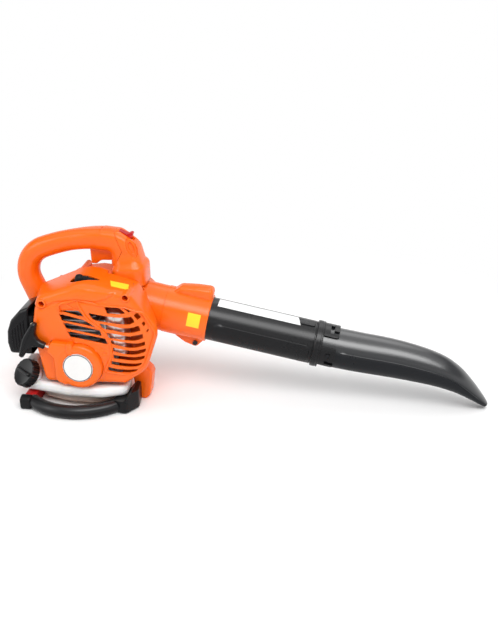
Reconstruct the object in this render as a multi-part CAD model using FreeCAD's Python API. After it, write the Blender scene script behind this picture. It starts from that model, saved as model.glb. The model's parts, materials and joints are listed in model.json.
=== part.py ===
"""Handheld petrol leaf blower: fan volute, engine, cover, handle, tank, stand and blow pipe.

Sizes are in millimetres. X runs forward to the nozzle, Y from the engine side to the fan
side, Z up. While the pieces are made, the crank axis is at X 0 and runs along Y, and the
ground is at Z 0. At the end the whole model is moved so that its origin lies on the ground
under the middle of its box.
"""
import FreeCAD, Part
import math
import os

V = FreeCAD.Vector

# Fits
loose_gap = 0.3          # between pieces that only rest on or lie near each other
run_gap = 0.05           # radial gap of a turning or sliding shaft
screw_radius = 2.4       # all case and cover screws

# Crank line and fan
crank_height = 90.0
shaft_radius = 6.0
case_wall = 3.0
fan_near = -14.0         # inside face of the fan chamber on the engine side
fan_width = 66.0
fan_split = 12.0         # parting plane of the fan case and of the handle
impeller_radius = 75.0
impeller_hub = 15.0
impeller_gap = 5.0       # from the chamber walls to the impeller
blade_count = 13
blade_thick = 2.2
blade_root = 31.0
blade_sweep = 34.0       # degrees that a blade's tip trails its root
scroll_low = 82.0        # the scroll's quarter arcs, from the tongue round to the top
scroll_rear = 100.0
scroll_top = 114.0
intake_radius = 50.0
intake_lip = 11.0        # how far the intake bell stands out of the case

# Air duct, pipe and nozzle
pipe_pitch = math.radians(10.7)
tube_y = 10.0            # plane of the duct, the pipe and the handle
pipe_radius = 39.0
pipe_wall = 2.0
sleeve_wall = 2.8
duct_start = 42.0        # stations along the duct axis
duct_round = 72.0        # where the passage has become round
duct_end = 102.0
sleeve_length = 82.0
pipe_insert = 52.0       # length of pipe inside the sleeve
pipe_length = 193.0      # free length up to its collar
collar_length = 13.0
collar_rise = 3.0
root_length = 36.0       # how far the nozzle's round root reaches into the pipe
nozzle_gap = 0.35        # from the root's corners to the flats of the pipe's bore
nozzle_wall = 2.2
nozzle_radius = 36.4
# The beak: distance past the collar, rise of its middle, half height and half width
nozzle_sections = ((28, 0.0, nozzle_radius, nozzle_radius), (110, 3.9, 35.6, 35.0),
                   (164, 5.0, 33.2, 33.0), (208, 2.4, 29.0, 31.0), (246, -6.6, 22.5, 28.0),
                   (278, -22.0, 14.0, 22.0), (300, -36.0, 9.0, 14.5), (312, -43.5, 5.0, 8.0))

# Engine
bore_radius = 16.5
piston_length = 26.0
crank_throw = 14.0
cylinder_y = -54.0
deck_rise = 32.0         # from the crank up to the deck, where the cylinder bolts on
deck_height = crank_height + deck_rise
case_radius = deck_rise - 1.0        # crankcase drum
case_y = (-74.0, -36.0)
flange_y = -40.0
inlet_height = deck_height + 24.0    # inlet port, carburettor and air filter
outlet_height = deck_height + 30.0   # exhaust port and muffler
fin_count = 8
fin_thick = 2.4
fin_pitch = 9.0
flywheel_radius = 40.0
flywheel_y = (-32.0, -20.0)

# Starter
starter_radius = 42.0
starter_y = (-108.0, -82.0)
starter_wall = 2.5
badge_radius = 27.0
badge_thick = 1.2
reel_radius = 24.0
rope_radius = 1.8
grip_angle = math.radians(18.0)
bar_lean = math.radians(25.0)

# Engine cover
cover_back = -17.3
cover_face = -94.0
cover_wall = 2.6

# Tank and stand
fuel_line_y = -41.5
tank_wall = 2.4
tank_top = 46.0
filler_top = 74.0        # top of the shoulder that carries the filler
cap_radius = 26.0
cap_depth = 17.0
neck_radius = 17.0
stand_radius = 12.0

# Handle
grip_half_width = 18.5
grip_rear_half = 21.5    # half of the grip's depth at the rear
grip_top_half = 17.6     # and under the palm
grip_foot = (-98.0, 160.0)
grip_rise = math.radians(112.0)
grip_straight = 46.0
grip_bend = 50.0
grip_bow = 330.0
tower_seat = 3.0         # height of the plinth under the tower
trigger_width = 12.0


def box(x, y, z):
    """Box from three (low, high) pairs."""
    return Part.makeBox(x[1] - x[0], y[1] - y[0], z[1] - z[0], V(x[0], y[0], z[0]))


def sides_for(radius):
    """Number of straight sides that stand for a round of this radius."""
    for limit, sides in ((3.2, 6), (6.5, 12), (10.0, 12), (20.0, 16), (32.0, 20)):
        if radius <= limit:
            return sides
    return 32


def ring_points(centre, axis, radius, sides=None):
    """Corners of a polygon round an axis, all on the radius."""
    sides = sides or sides_for(radius)
    first = axis.cross(V(0, 0, 1)) if abs(axis.z) < 0.9 * axis.Length else axis.cross(V(0, 1, 0))
    first = V(first).normalize()
    second = V(axis).normalize().cross(first)
    points = []
    for index in range(sides):
        turn = 2 * math.pi * index / sides
        spoke = first * (radius * math.cos(turn)) + second * (radius * math.sin(turn))
        points.append(centre.add(spoke))
    return points


def rod(start, end, radius, sides=None):
    """Round bar between two points, drawn with straight sides."""
    axis = end.sub(start)
    points = ring_points(start, axis, radius, sides)
    return Part.Face(Part.makePolygon(points + points[:1])).extrude(axis)


def bore(start, end, radius, sides=None):
    """Cutter for a hole whose flats clear a round of this radius."""
    sides = sides or sides_for(radius)
    return rod(start, end, radius / math.cos(math.pi / sides), sides)


def spun(profile, start, axis, sides):
    """Turned piece: the profile lists (distance along the axis, radius)."""
    way = V(axis).normalize()
    return skin([ring_points(start.add(way * along), way, radius, sides) for along, radius in profile])


def disc(y, radius, x=0.0, z=crank_height, sides=None):
    """Round bar along Y between the two values of y."""
    return rod(V(x, y[0], z), V(x, y[1], z), radius, sides)


def washer(y, outer, inner, x=0.0, z=crank_height):
    """Ring along Y; its hole clears a round of the inner radius."""
    hole = bore(V(x, y[0] - 1, z), V(x, y[1] + 1, z), inner)
    return disc(y, outer, x, z).cut(hole)


def fuse(shapes):
    """One solid from several that overlap."""
    shapes = list(shapes)
    joined = shapes[0].multiFuse(shapes[1:]) if len(shapes) > 1 else shapes[0]
    return joined.removeSplitter()


def group(shapes):
    """Separate solids kept together in one node."""
    return Part.makeCompound(list(shapes))


def flat(y):
    """Places a sketch point in the upright plane at y."""
    return lambda point: V(point.x, y, point.y)


def level(z):
    """Places a sketch point in the level plane at z."""
    return lambda point: V(point.x, point.y, z)


def skin(rings):
    """Solid wrapped over closed rings that all have the same number of points."""
    faces = []
    for closing in (rings[0], rings[-1]):
        faces.append(Part.Face(Part.makePolygon(list(closing) + [closing[0]])))
    for low, high in zip(rings, rings[1:]):
        for index in range(len(low)):
            after = (index + 1) % len(low)
            a, b, c, d = low[index], low[after], high[after], high[index]
            bow = abs(b.sub(a).cross(d.sub(a)).normalize().dot(c.sub(a)))
            patches = [(a, b, c, d)] if bow < 1e-6 else [(a, b, c), (a, c, d)]
            faces += [Part.Face(Part.makePolygon(list(patch) + [patch[0]])) for patch in patches]
    shell = Part.makeShell(faces)
    shell.sewShape()
    solid = Part.makeSolid(shell)
    if solid.Volume < 0:
        solid.reverse()
    return solid


def corner_points(corners, steps=None):
    """Points of an outline whose corners (u, v, radius) are rounded in a few steps."""
    points = []
    for index, (u, v, radius) in enumerate(corners):
        here = V(u, v, 0)
        back = V(*corners[index - 1][:2], 0).sub(here).normalize()
        ahead = V(*corners[(index + 1) % len(corners)][:2], 0).sub(here).normalize()
        half = back.getAngle(ahead) / 2
        swing = math.pi - 2 * half
        stride = 45 if radius < 5 else 30 if radius < 15 else 18
        count = steps or max(1, round(math.degrees(swing) / stride))
        middle = here.add(back.add(ahead).normalize() * (radius / math.sin(half)))
        first = here.add(back * (radius / math.tan(half))).sub(middle)
        last = here.add(ahead * (radius / math.tan(half))).sub(middle)
        for step in range(count + 1):
            share = step / count
            left = math.sin((1 - share) * swing) / math.sin(swing)
            right = math.sin(share * swing) / math.sin(swing)
            points.append(middle.add(first * left).add(last * right))
    return points


def outline(corners, place, steps=None):
    """Closed wire of straight edges round an outline with rounded corners."""
    points = [place(point) for point in corner_points(corners, steps)]
    clean = [points[-1]]
    for point in points[:-1]:
        if point.distanceToPoint(clean[-1]) > 1e-4:
            clean.append(point)
    return Part.makePolygon(clean + clean[:1])


def inset(corners, depth):
    """The same outline, moved inwards by depth all round; corners run clockwise or not."""
    area = 0.0
    for index, (u, v, _) in enumerate(corners):
        before = corners[index - 1]
        area += before[0] * v - u * before[1]
    side = 1.0 if area > 0 else -1.0
    moved = []
    for index, (u, v, radius) in enumerate(corners):
        here = V(u, v, 0)
        arrive = here.sub(V(*corners[index - 1][:2], 0)).normalize()
        leave = V(*corners[(index + 1) % len(corners)][:2], 0).sub(here).normalize()
        first = V(-arrive.y, arrive.x, 0) * side
        second = V(-leave.y, leave.x, 0) * side
        shift = first.add(second) * (depth / (1 + first.dot(second)))
        convex = side * (arrive.x * leave.y - arrive.y * leave.x) > 0
        new_radius = radius - depth if convex else radius + depth
        moved.append((u + shift.x, v + shift.y, max(new_radius, 0.4)))
    return moved


def prism(corners, y):
    """Extrusion along Y of a rounded outline drawn in X and Z."""
    return Part.Face(outline(corners, flat(y[0]))).extrude(V(0, y[1] - y[0], 0))


def slab(corners, z, steps=None):
    """Extrusion along Z of a rounded outline drawn in X and Y."""
    return Part.Face(outline(corners, level(z[0]), steps)).extrude(V(0, 0, z[1] - z[0]))


def round_box(x, y, z, radius, steps=None):
    """Box whose upright edges are rounded."""
    corners = [(x[0], y[0], radius), (x[1], y[0], radius), (x[1], y[1], radius), (x[0], y[1], radius)]
    return slab(corners, z, steps)


def screw(head, along, length, socket=True):
    """Pan head screw: head is the underside of the head, along points to the tip."""
    along = V(along).normalize()
    top = head.sub(along * 3.0)
    body = fuse([rod(head, head.add(along * length), screw_radius), rod(top, head, 4.5, 10)])
    return body.cut(rod(top, top.add(along * 1.6), 2.2, 6)) if socket else body


# The duct axis is parallel to the scroll's top wall
duct_way = V(math.cos(pipe_pitch), 0, -math.sin(pipe_pitch))
duct_up = V(math.sin(pipe_pitch), 0, math.cos(pipe_pitch))
duct_half = pipe_radius + loose_gap
fan_far = fan_near + fan_width
scroll_bottom = crank_height - scroll_low
top_centre = V(scroll_top - scroll_rear, 0, scroll_bottom + scroll_rear)
scroll_roof = top_centre.dot(duct_up) + scroll_top
duct_axis = scroll_roof - duct_half
sleeve_end = duct_end + sleeve_length
collar_start = sleeve_end + pipe_length
spigot_start = collar_start + collar_length


def on_duct(station, rise=0.0, y=tube_y):
    """Point at a station along the duct axis, with a rise square to it."""
    point = duct_up * (duct_axis + rise) + duct_way * station
    return V(point.x, y, point.z)


duct_sides = 28


def duct_rod(first, last, radius):
    """Round bar on the duct axis."""
    return rod(on_duct(first), on_duct(last), radius, duct_sides)


def duct_section(station, centre_y, half_y, half_rise, roundness):
    """Section across the duct: a rectangle at roundness 0, an oval at 1."""
    points = []
    for index in range(duct_sides):
        turn = 2 * math.pi * (index + 0.5) / duct_sides
        across, up = math.cos(turn), math.sin(turn)
        square = max(abs(across), abs(up))
        scale = (1 - roundness) / square + roundness
        points.append(on_duct(station, half_rise * up * scale, centre_y + half_y * across * scale))
    return points


def scroll_arc(centre, radius, first, last):
    """Points of an arc in X and Z between two angles in degrees, about twelve degrees apart."""
    count = max(2, round(abs(last - first) / 12))
    turns = [math.radians(first + (last - first) * step / count) for step in range(count + 1)]
    return [V(centre.x + radius * math.cos(a), 0, centre.z + radius * math.sin(a)) for a in turns]


def scroll_wire(y, grow=0.0):
    """Outline of the fan chamber; grow moves it outwards by a wall."""
    crank = V(0, 0, crank_height)
    rear_centre = V(0, 0, scroll_bottom + scroll_rear)
    roof = scroll_roof + grow
    floor = scroll_roof - 2 * duct_half - grow
    low = scroll_low + grow
    lift = floor - crank.dot(duct_up)
    tongue = math.degrees(math.asin(lift / low) - pipe_pitch)
    points = scroll_arc(crank, low, tongue, -90)
    points += scroll_arc(rear_centre, scroll_rear + grow, -90, -180)[1:]
    points += scroll_arc(top_centre, scroll_top + grow, 180, 90 - math.degrees(pipe_pitch))[1:]
    points.append(duct_up * roof + duct_way * duct_start)
    points.append(duct_up * floor + duct_way * duct_start)
    placed = [V(point.x, y, point.z) for point in points]
    return Part.makePolygon(placed + placed[:1])


def fan_core():
    """The air space: scroll chamber and the passage that turns it into a round duct."""
    chamber = Part.Face(scroll_wire(fan_near)).extrude(V(0, fan_width, 0))
    return chamber, duct_neck(fan_width / 2, duct_half, duct_half)


def fan_skin():
    """The same space grown by the wall."""
    chamber = Part.Face(scroll_wire(fan_near - case_wall, case_wall))
    chamber = chamber.extrude(V(0, fan_width + 2 * case_wall, 0))
    half = duct_half + sleeve_wall
    return chamber, duct_neck(fan_width / 2 + case_wall, duct_half + case_wall, half)


def duct_neck(half_y, half_rise, radius):
    """Passage from the chamber's rectangle to the round duct."""
    start = duct_section(duct_start, fan_near + fan_width / 2, half_y, half_rise, 0.0)
    middle = duct_section(duct_round, tube_y, radius, radius, 1.0)
    end = duct_section(duct_end, tube_y, radius, radius, 1.0)
    return skin([start, middle, end])


# Cover outline, read clockwise from the lower rear; the second list is its face
cover_root = [(-82, 47, 12), (-110, 160, 18), (-86, 208, 20), (6, 249, 60), (96, 226, 14),
              (126, 150, 44), (108, 80, 44), (84, 52, 10)]
cover_front = [(-68, 50, 12), (-84, 150, 40), (-72, 212, 18), (6, 240, 60), (94, 229, 14),
               (142, 160, 34), (118, 84, 44), (80, 56, 10)]


def cover_form(depth):
    """The cover's outside, moved inwards by depth."""
    rims = [(cover_root, depth, cover_back), (cover_front, depth, cover_face + 7),
            (cover_front, depth + 5, cover_face + depth)]
    rings = []
    for corners, inwards, y in rims:
        rings.append([V(p.x, y, p.y) for p in corner_points(inset(corners, inwards), 3)])
    return skin(rings)


case_screw_angles = (-62, -108, -165, 137, 106)


def case_boss_points():
    """Centres of the screw bosses round the scroll."""
    points = []
    for angle in case_screw_angles:
        turn = math.radians(angle)
        way = V(math.cos(turn), 0, math.sin(turn))
        if way.z > 0:
            centre, radius = top_centre, scroll_top
        elif way.x < 0:
            centre, radius = V(0, 0, scroll_bottom + scroll_rear), scroll_rear
        else:
            centre, radius = V(0, 0, crank_height), scroll_low
        points.append(centre.add(way * (radius + case_wall + 3.5)))
    return points


def rear_mount_ends():
    """Foot of the grip, and the direction in which the grip leaves it."""
    foot = V(grip_foot[0], tube_y, grip_foot[1])
    return foot, V(math.cos(grip_rise), 0, math.sin(grip_rise))


mount_thick = 8.0
mount_radius = 15.0
engine_boss = 46.0       # half spacing of the engine bolts along X
engine_boss_rise = 29.0
plinth_x = (48.0, 98.0)
plinth_y = (fan_near - case_wall, 42.0)


def tower_plinth():
    """Raised seat of the handle tower on the scroll's roof."""
    block = round_box(plinth_x, plinth_y, (150, 260), 16)
    return block.common(roof_block(scroll_roof - 20, scroll_roof + case_wall + tower_seat))


def roof_block(low, high):
    """Everything between two planes that are parallel to the scroll's roof."""
    size = 1800.0
    block = Part.makeBox(size, size, high - low, V(-size / 2, -size / 2, low))
    block.rotate(V(0, 0, 0), V(0, 1, 0), math.degrees(pipe_pitch))
    return block


def fan_case():
    """Both halves of the fan case."""
    chamber, passage = fan_core()
    skin_form, neck = fan_skin()
    foot, rise = rear_mount_ends()
    plate = prism(inset(cover_root, 0.5), (fan_near - case_wall, fan_near))
    above = roof_block(scroll_roof + case_wall, 500).common(box((36, 300), (-300, 300), (0, 500)))
    pieces = [skin_form, neck, tower_plinth(), plate.cut(above)]
    pieces.append(rod(foot.sub(rise * 40), foot.sub(rise * mount_thick), mount_radius))
    ends = (fan_near - case_wall, fan_far + case_wall)
    for point in case_boss_points():
        pieces.append(disc(ends, 6.0, point.x, point.z))
    for x in ((-64, -42), (34, 56)):
        pieces.append(box(x, (fan_split + 6, ends[1]), (0, 34)))
    for x in (-engine_boss, engine_boss):
        for z in (-engine_boss_rise, engine_boss_rise):
            pieces.append(disc((flange_y + 4, fan_near), 7.0, x, crank_height + z))
    well = screw_wells[0]
    pieces.append(disc((fan_near - case_wall, fan_near + 10), 5.5, well.x, well.z))
    lip = disc((fan_far, fan_far + case_wall + intake_lip), intake_radius + 7)
    body = fuse(pieces + [lip])
    cuts = [chamber, passage, disc((fan_near - 10, fan_near + 1), shaft_radius + 3)]
    cuts.append(disc((fan_far - 1, fan_far + 30), intake_radius))
    for point in case_boss_points():
        cuts.append(disc((ends[0] - 1, ends[1] + 1), screw_radius, point.x, point.z))
    for x in (-engine_boss, engine_boss):
        for z in (-engine_boss_rise, engine_boss_rise):
            cuts.append(disc((flange_y - 1, fan_near + 1), screw_radius, x, crank_height + z))
    cuts.append(disc((fan_near - 10, fan_near + 11), screw_radius, well.x, well.z))
    cuts.append(duct_rod(duct_end, sleeve_end, duct_half + sleeve_wall + loose_gap))
    body = body.cut(cuts)
    size = 900.0
    near = body.common(box((-size, size), (-size, fan_split), (-size, size)))
    far = body.common(box((-size, size), (fan_split, size), (-size, size)))
    return near, far


def impeller():
    """Fan wheel: back plate, hub and curved blades that trail the turn."""
    back = fan_near + impeller_gap
    front = fan_far - impeller_gap - 3
    plate = washer((back, back + 3), impeller_radius, shaft_radius + run_gap)
    hub = disc((back, back + 34), impeller_hub)

    def arm(radius, share, side):
        lag = -math.radians(blade_sweep) * share + side * blade_thick / 2 / radius
        return V(radius * math.cos(lag), back, crank_height - radius * math.sin(lag))

    tip = impeller_radius - 0.5
    middle = (blade_root + tip) / 2
    marks = ((blade_root, 0.0), ((blade_root + middle) / 2, 0.17), (middle, 0.42),
             ((middle + tip) / 2, 0.7), (tip, 1.0))
    low = [arm(radius, share, -1) for radius, share in marks]
    high = [arm(radius, share, 1) for radius, share in reversed(marks)]
    blade = Part.Face(Part.makePolygon(low + high + low[:1])).extrude(V(0, front - back, 0))
    pieces = [plate, hub]
    for index in range(blade_count):
        copy = blade.copy()
        copy.rotate(V(0, 0, crank_height), V(0, 1, 0), index * 360 / blade_count)
        pieces.append(copy)
    wheel = fuse(pieces)
    return wheel.cut(disc((back - 1, back + 40), shaft_radius))


# Cooling slots, each drawn as its top and bottom edge at a few places: (x, top, bottom)
cylinder_slots = (
    ((-28.6, 192, 191.2), (-20.8, 192.1, 190.4), (4.9, 192.8, 184.6), (15, 184, 183.4)),
    ((-29.8, 185.7, 184.9), (-26.4, 184.8, 174.1), (13, 175.6, 168.7), (32.6, 165.2, 164.4)),
    ((-23.9, 169.5, 168.7), (-20, 168.7, 159.1), (40.3, 157.6, 149.3), (42.9, 149.6, 148.8)),
    ((-17.7, 153.1, 152.3), (-14, 152.5, 143.7), (48.8, 142.4, 133.9), (52.7, 134, 133.2)))
muffler_slots = (
    ((52, 203.5, 202.7), (55.5, 203.5, 192.4), (75.9, 203.6, 192), (86.8, 195, 194.2)),
    ((23, 189.8, 189), (31.7, 188.3, 178.6), (54.4, 185.3, 175.4), (75, 184.1, 173.4),
     (92.8, 185.9, 174.2), (97.8, 186.9, 176.4), (102.4, 179.4, 178.5)),
    ((41.2, 171, 170.2), (47.7, 169.9, 162.9), (66, 166.9, 160.5), (80, 164.5, 158),
     (97, 166.3, 158.5), (108.8, 170.2, 161.9), (111.8, 163.8, 163)),
    ((52, 154, 153.2), (56.7, 153.6, 145.9), (67.8, 152.7, 144.8), (90, 149.7, 143.4),
     (102.2, 151.7, 143.8), (115.7, 155, 148.6)),
    ((58.9, 140.4, 139.6), (62, 140, 134.1), (90.4, 137, 129.4), (107, 136.9, 131.5),
     (118.6, 140.8, 135.5)),
    ((61.6, 126, 120.9), (72.4, 124.4, 117.8), (91, 122.3, 116), (102.2, 122.8, 117),
     (115.7, 125.9, 121.3), (119.8, 126.8, 126)),
    ((61.6, 112.3, 106.6), (71.6, 111.1, 105.9), (97, 109.8, 104.9), (112.4, 112, 107.9),
     (117.4, 113.4, 112.6)),
    ((57, 99.6, 94.7), (71.6, 97.9, 92.9), (88.2, 97.1, 92.2), (103.9, 97.9, 94.4),
     (111.6, 99.7, 99)),
    ((50.6, 87.5, 82.3), (65.5, 84.8, 80), (85, 84.5, 80.5), (96.3, 85.9, 83.2),
     (103.5, 87.1, 86.3)),
    ((102.2, 190.4, 189.8), (107.8, 195.5, 183.4), (114, 188.6, 188)),
    ((115, 176, 175.4), (118, 178.9, 171), (121, 176.2, 175.6)))


def cover_slots():
    """Cooling slots: sloping ones by the cylinder, bowed ones in front of the muffler."""
    pieces = []
    for places in cylinder_slots + muffler_slots:
        tops = [(x, high) for x, high, low in places]
        lows = [(x, low) for x, high, low in reversed(places)]
        points = [V(x, cover_face - 8, z) for x, z in tops + lows]
        face = Part.Face(Part.makePolygon(points + points[:1]))
        pieces.append(face.extrude(V(0, 20, 0)))
    return pieces


# Raised rim round both groups of slots, and the rib that parts them
rim_line = [(-35, 205, 8), (4, 215, 5), (44, 208, 5), (86, 207, 20), (119, 197, 9),
            (139, 157, 18), (118, 92, 26), (88, 73, 22), (46, 77, 3), (34, 116, 12), (-9, 133, 10)]
rib_line = ((3, 212), (12, 192), (23, 176), (42, 161), (50, 153), (56.5, 140), (58.5, 124),
            (56.5, 107), (50, 92), (44, 80))
rib_half = 2.4


def rib_form():
    """Curved rib of even width between the two groups of slots."""
    left, right = [], []
    for index, (x, z) in enumerate(rib_line):
        before = rib_line[max(index - 1, 0)]
        after = rib_line[min(index + 1, len(rib_line) - 1)]
        side = V(before[1] - after[1], 0, after[0] - before[0]).normalize() * rib_half
        here = V(x, cover_face - 2, z)
        left.append(here.add(side))
        right.insert(0, here.sub(side))
    return Part.Face(Part.makePolygon(left + right + left[:1])).extrude(V(0, 4, 0))


eye_centre = V(10, -58, 238)
screw_wells = (V(-60, -86, 203), V(89, -86, 223))
well_floor = -40.0       # where the screw heads sit
boss_hole = starter_radius + 0.6


def engine_cover():
    """Moulded cover with its grille, plug eye, side window and deep screw wells."""
    outer = cover_form(0)
    shell = outer.cut(cover_form(cover_wall))
    shell = shell.cut(box((-300, 300), (cover_back - 1, cover_back + cover_wall + 0.5), (0, 400))
                      .common(cover_form(cover_wall)))
    rim = prism(rim_line, (cover_face - 2, cover_face + 1))
    rim = rim.cut(prism(inset(rim_line, 3.6), (cover_face - 3, cover_face)))
    rim = rim.common(cover_form(-2.2))
    wells = [rod(point, V(point.x, cover_back, point.z), 8.0) for point in screw_wells]
    body = fuse([shell, rim, rib_form()] + wells)
    cuts = cover_slots()
    for point in screw_wells:
        cuts.append(rod(V(point.x, cover_face - 20, point.z), V(point.x, well_floor, point.z), 5.2))
        cuts.append(rod(V(point.x, -50, point.z), V(point.x, 10, point.z), screw_radius))
    cuts.append(disc((cover_face - 30, cover_face + 30), boss_hole / math.cos(math.pi / 28), sides=28))
    cuts.append(eye_slot())
    cuts.append(filter_form(0.5, filter_front))
    cuts.append(box((filter_front - 1, -76), (filter_y[0] - 0.5, filter_y[1] + 0.5),
                    (inlet_height - 49.5, inlet_height + 43.5)))
    x, y, z = choke_pivot
    cuts.append(box((filter_front - 1, x + 5), (cover_face - 1, y + 2), (z - 27, z + 8)))
    cuts.append(box((-66, 62), (cover_face + 8, cover_back + 1), (30, 62)))
    cuts.append(duct_rod(duct_start - 30, sleeve_end, duct_half + sleeve_wall + 1.0))
    cuts.append(neck_clear())
    cuts.append(roof_block(scroll_roof - 1, 400).common(box((36, 200), (collar_near, 60), (100, 400))))
    cuts.append(starter_arm(0.6))
    return body.cut(cuts)


def neck_clear():
    """Room for the passage where it leaves the case."""
    return fan_skin()[1]


def eye_slot():
    """Eye-shaped opening in the cover's top, over the plug."""
    wing, half = 30.0, 9.0
    shares = (-1.0, -0.8, -0.5, -0.2, 0.2, 0.5, 0.8, 1.0)
    near = [V(wing * s, -half * (1 - s * s), 0) for s in shares]
    far = [V(wing * s, half * (1 - s * s), 0) for s in reversed(shares[1:-1])]
    points = [eye_centre.add(p).sub(V(0, 0, 16)) for p in near + far]
    return Part.Face(Part.makePolygon(points + points[:1])).extrude(V(0, 0, 40))


def outlet_sleeve():
    """Collar that takes the pipe, with its lock housing above and its clamp lug below."""
    outer = duct_half + sleeve_wall
    body = duct_rod(duct_end, sleeve_end, outer)
    top = [on_duct(duct_end + 6, outer - 5), on_duct(duct_end + 20, outer + 9),
           on_duct(duct_end + 50, outer + 14), on_duct(sleeve_end - 1, outer + 17),
           on_duct(sleeve_end - 1, outer - 5)]
    pad = prism([(p.x, p.z, 4.0) for p in top], (tube_y - 14, tube_y + 16))
    lug = [on_duct(sleeve_end - 62, -outer + 4), on_duct(sleeve_end - 36, -outer - 10),
           on_duct(sleeve_end - 14, -outer - 13), on_duct(sleeve_end - 1, -outer + 4)]
    jaw = prism([(p.x, p.z, 5.0) for p in lug], (tube_y - 16, tube_y + 16))
    body = fuse([body, pad, jaw])
    centre = clamp_centre()
    cuts = [duct_rod(duct_end - 1, sleeve_end + 1, duct_half)]
    cuts.append(disc((tube_y - 60, tube_y + 60), screw_radius, centre.x, centre.z))
    return body.cut(cuts)


def clamp_centre():
    """Centre line of the clamp screw under the sleeve."""
    return on_duct(sleeve_end - 17, -duct_half - sleeve_wall - 5.0)


def blow_pipe():
    """Straight pipe with its side panels, its collar and the two tongues that lock the nozzle."""
    start = sleeve_end - pipe_insert
    room = pipe_radius - pipe_wall
    body = fuse([duct_rod(start, collar_start + 1, pipe_radius),
                 duct_rod(collar_start, spigot_start, pipe_radius + collar_rise)])
    skin_form = duct_rod(sleeve_end + 12, collar_start - 4, pipe_radius + 1)
    skin_form = skin_form.cut(duct_rod(sleeve_end, collar_start, pipe_radius - 0.9))
    band = roof_block(duct_axis - 25, duct_axis + 9)
    body = body.cut([duct_rod(start - 1, spigot_start + 1, room), skin_form.common(band)])
    return fuse([body] + [lock_tongue(turn) for turn in lock_angles])


lock_station = spigot_start + 14
tongue_end = spigot_start + 27
lock_angles = (90, 0)    # a tongue on the near side and one on top
lock_turn = 25.0
peg_radius = 3.0
peg_top = pipe_radius + 2.6


def about_duct(shape, angle):
    """The shape turned round the duct axis."""
    shape.rotate(on_duct(0), duct_way, angle)
    return shape


def lock_peg():
    """Bayonet peg on top of the nozzle's root."""
    return rod(on_duct(lock_station, nozzle_radius - 2), on_duct(lock_station, peg_top), peg_radius, 8)


def lock_tongue(angle):
    """Tongue of the pipe's collar with the slot that takes a peg of the nozzle."""
    body = duct_rod(spigot_start - 3, tongue_end, pipe_radius + 1.6)
    body = body.cut(duct_rod(spigot_start - 4, tongue_end + 1, pipe_radius - pipe_wall))
    body = body.common(roof_block(duct_axis + 8, 600))
    body = body.common(box((0, 900), (tube_y - 26, tube_y + 14), (0, 400)))
    cuts = [about_duct(slot_block(0), lock_turn * step / 5) for step in range(5)]
    cuts.append(about_duct(slot_block(60), lock_turn))
    return about_duct(body.cut(cuts), angle)


def slot_block(length):
    """Room for a peg at its station, drawn out towards the nozzle by length."""
    side = peg_radius + loose_gap
    block = box((-side, side + length), (tube_y - side, tube_y + side), (-30, 30))
    block.rotate(V(0, tube_y, 0), V(0, 1, 0), math.degrees(pipe_pitch))
    block.translate(on_duct(lock_station, pipe_radius).sub(V(0, tube_y, 0)))
    return block


def nozzle_rings(thin):
    """Cross sections of the nozzle from the end of its round root to its tip."""
    rings = []
    for index, (along, rise, high, wide) in enumerate(nozzle_sections):
        before = nozzle_sections[max(index - 1, 0)]
        after = nozzle_sections[min(index + 1, len(nozzle_sections) - 1)]
        slope = (after[1] - before[1]) / (after[0] - before[0]) if index else 0.0
        up = V(duct_up).sub(duct_way * slope).normalize()
        centre = on_duct(spigot_start + along, rise)
        rings.append(oval(centre, up, V(0, 1, 0), high - thin, wide - thin))
    return rings


oval_sides = 20
mouth_line = ((240, -25.5), (284, -34.0), (312, -45.0), (330, -52.0))


def oval(centre, up, across, high, wide, sides=oval_sides):
    """Points of an oval round a centre; up and across are its two directions."""
    points = []
    for index in range(sides):
        turn = 2 * math.pi * index / sides
        points.append(centre.add(across * (wide * math.cos(turn))).add(up * (high * math.sin(turn))))
    return points


def nozzle():
    """Curved nozzle: round root with its bayonet pegs, then a beak with an oblique mouth."""
    first = spigot_start - root_length
    last = spigot_start + nozzle_sections[0][0]
    outside = fuse([duct_rod(first, last, nozzle_radius), skin(nozzle_rings(0))]
                   + [about_duct(lock_peg(), turn) for turn in lock_angles])
    inside = fuse([duct_rod(first - 1, last + 0.01, nozzle_radius - nozzle_wall),
                   skin(nozzle_rings(nozzle_wall))])
    return outside.cut([inside, nozzle_mouth()])


def nozzle_mouth():
    """Cutter that opens the beak's underside along a sloping line."""
    edge = [on_duct(spigot_start + along, rise) for along, rise in mouth_line]
    low = [V(point.x, 0, -60) for point in reversed(edge)]
    corners = [(point.x, point.z, 1.0) for point in edge + low[::len(low) - 1]]
    return prism(corners, (tube_y - 60, tube_y + 60))


def grip_path(share):
    """Centre, heading and half depth of the grip; share runs from 0 at its foot to 1."""
    lengths = (grip_straight, grip_bend * math.radians(90), grip_bow * math.radians(20))
    distance = share * sum(lengths)
    heading = grip_rise
    point = V(grip_foot[0], tube_y, grip_foot[1])
    first = min(distance, lengths[0])
    point = point.add(V(math.cos(heading), 0, math.sin(heading)) * first)
    for length, radius in zip(lengths[1:], (grip_bend, grip_bow)):
        distance -= lengths[0] if radius == grip_bend else lengths[1]
        run = max(0.0, min(distance, length))
        right = V(math.sin(heading), 0, -math.cos(heading))
        centre = point.add(right * radius)
        heading -= run / radius
        point = centre.sub(V(math.sin(heading), 0, -math.cos(heading)) * radius)
    half = grip_rear_half + (grip_top_half - grip_rear_half) * share
    return point, heading, half


def grip_form():
    """The palm grip as one smooth bent bar."""
    rings = []
    steps = 9
    for index in range(steps):
        point, heading, half = grip_path(index / (steps - 1))
        inner = V(math.sin(heading), 0, -math.cos(heading))
        rings.append(oval(point, inner, V(0, 1, 0), half, grip_half_width, 16))
    return skin(rings)


collar_near = -26.0      # near face of the tower's collar


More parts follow.
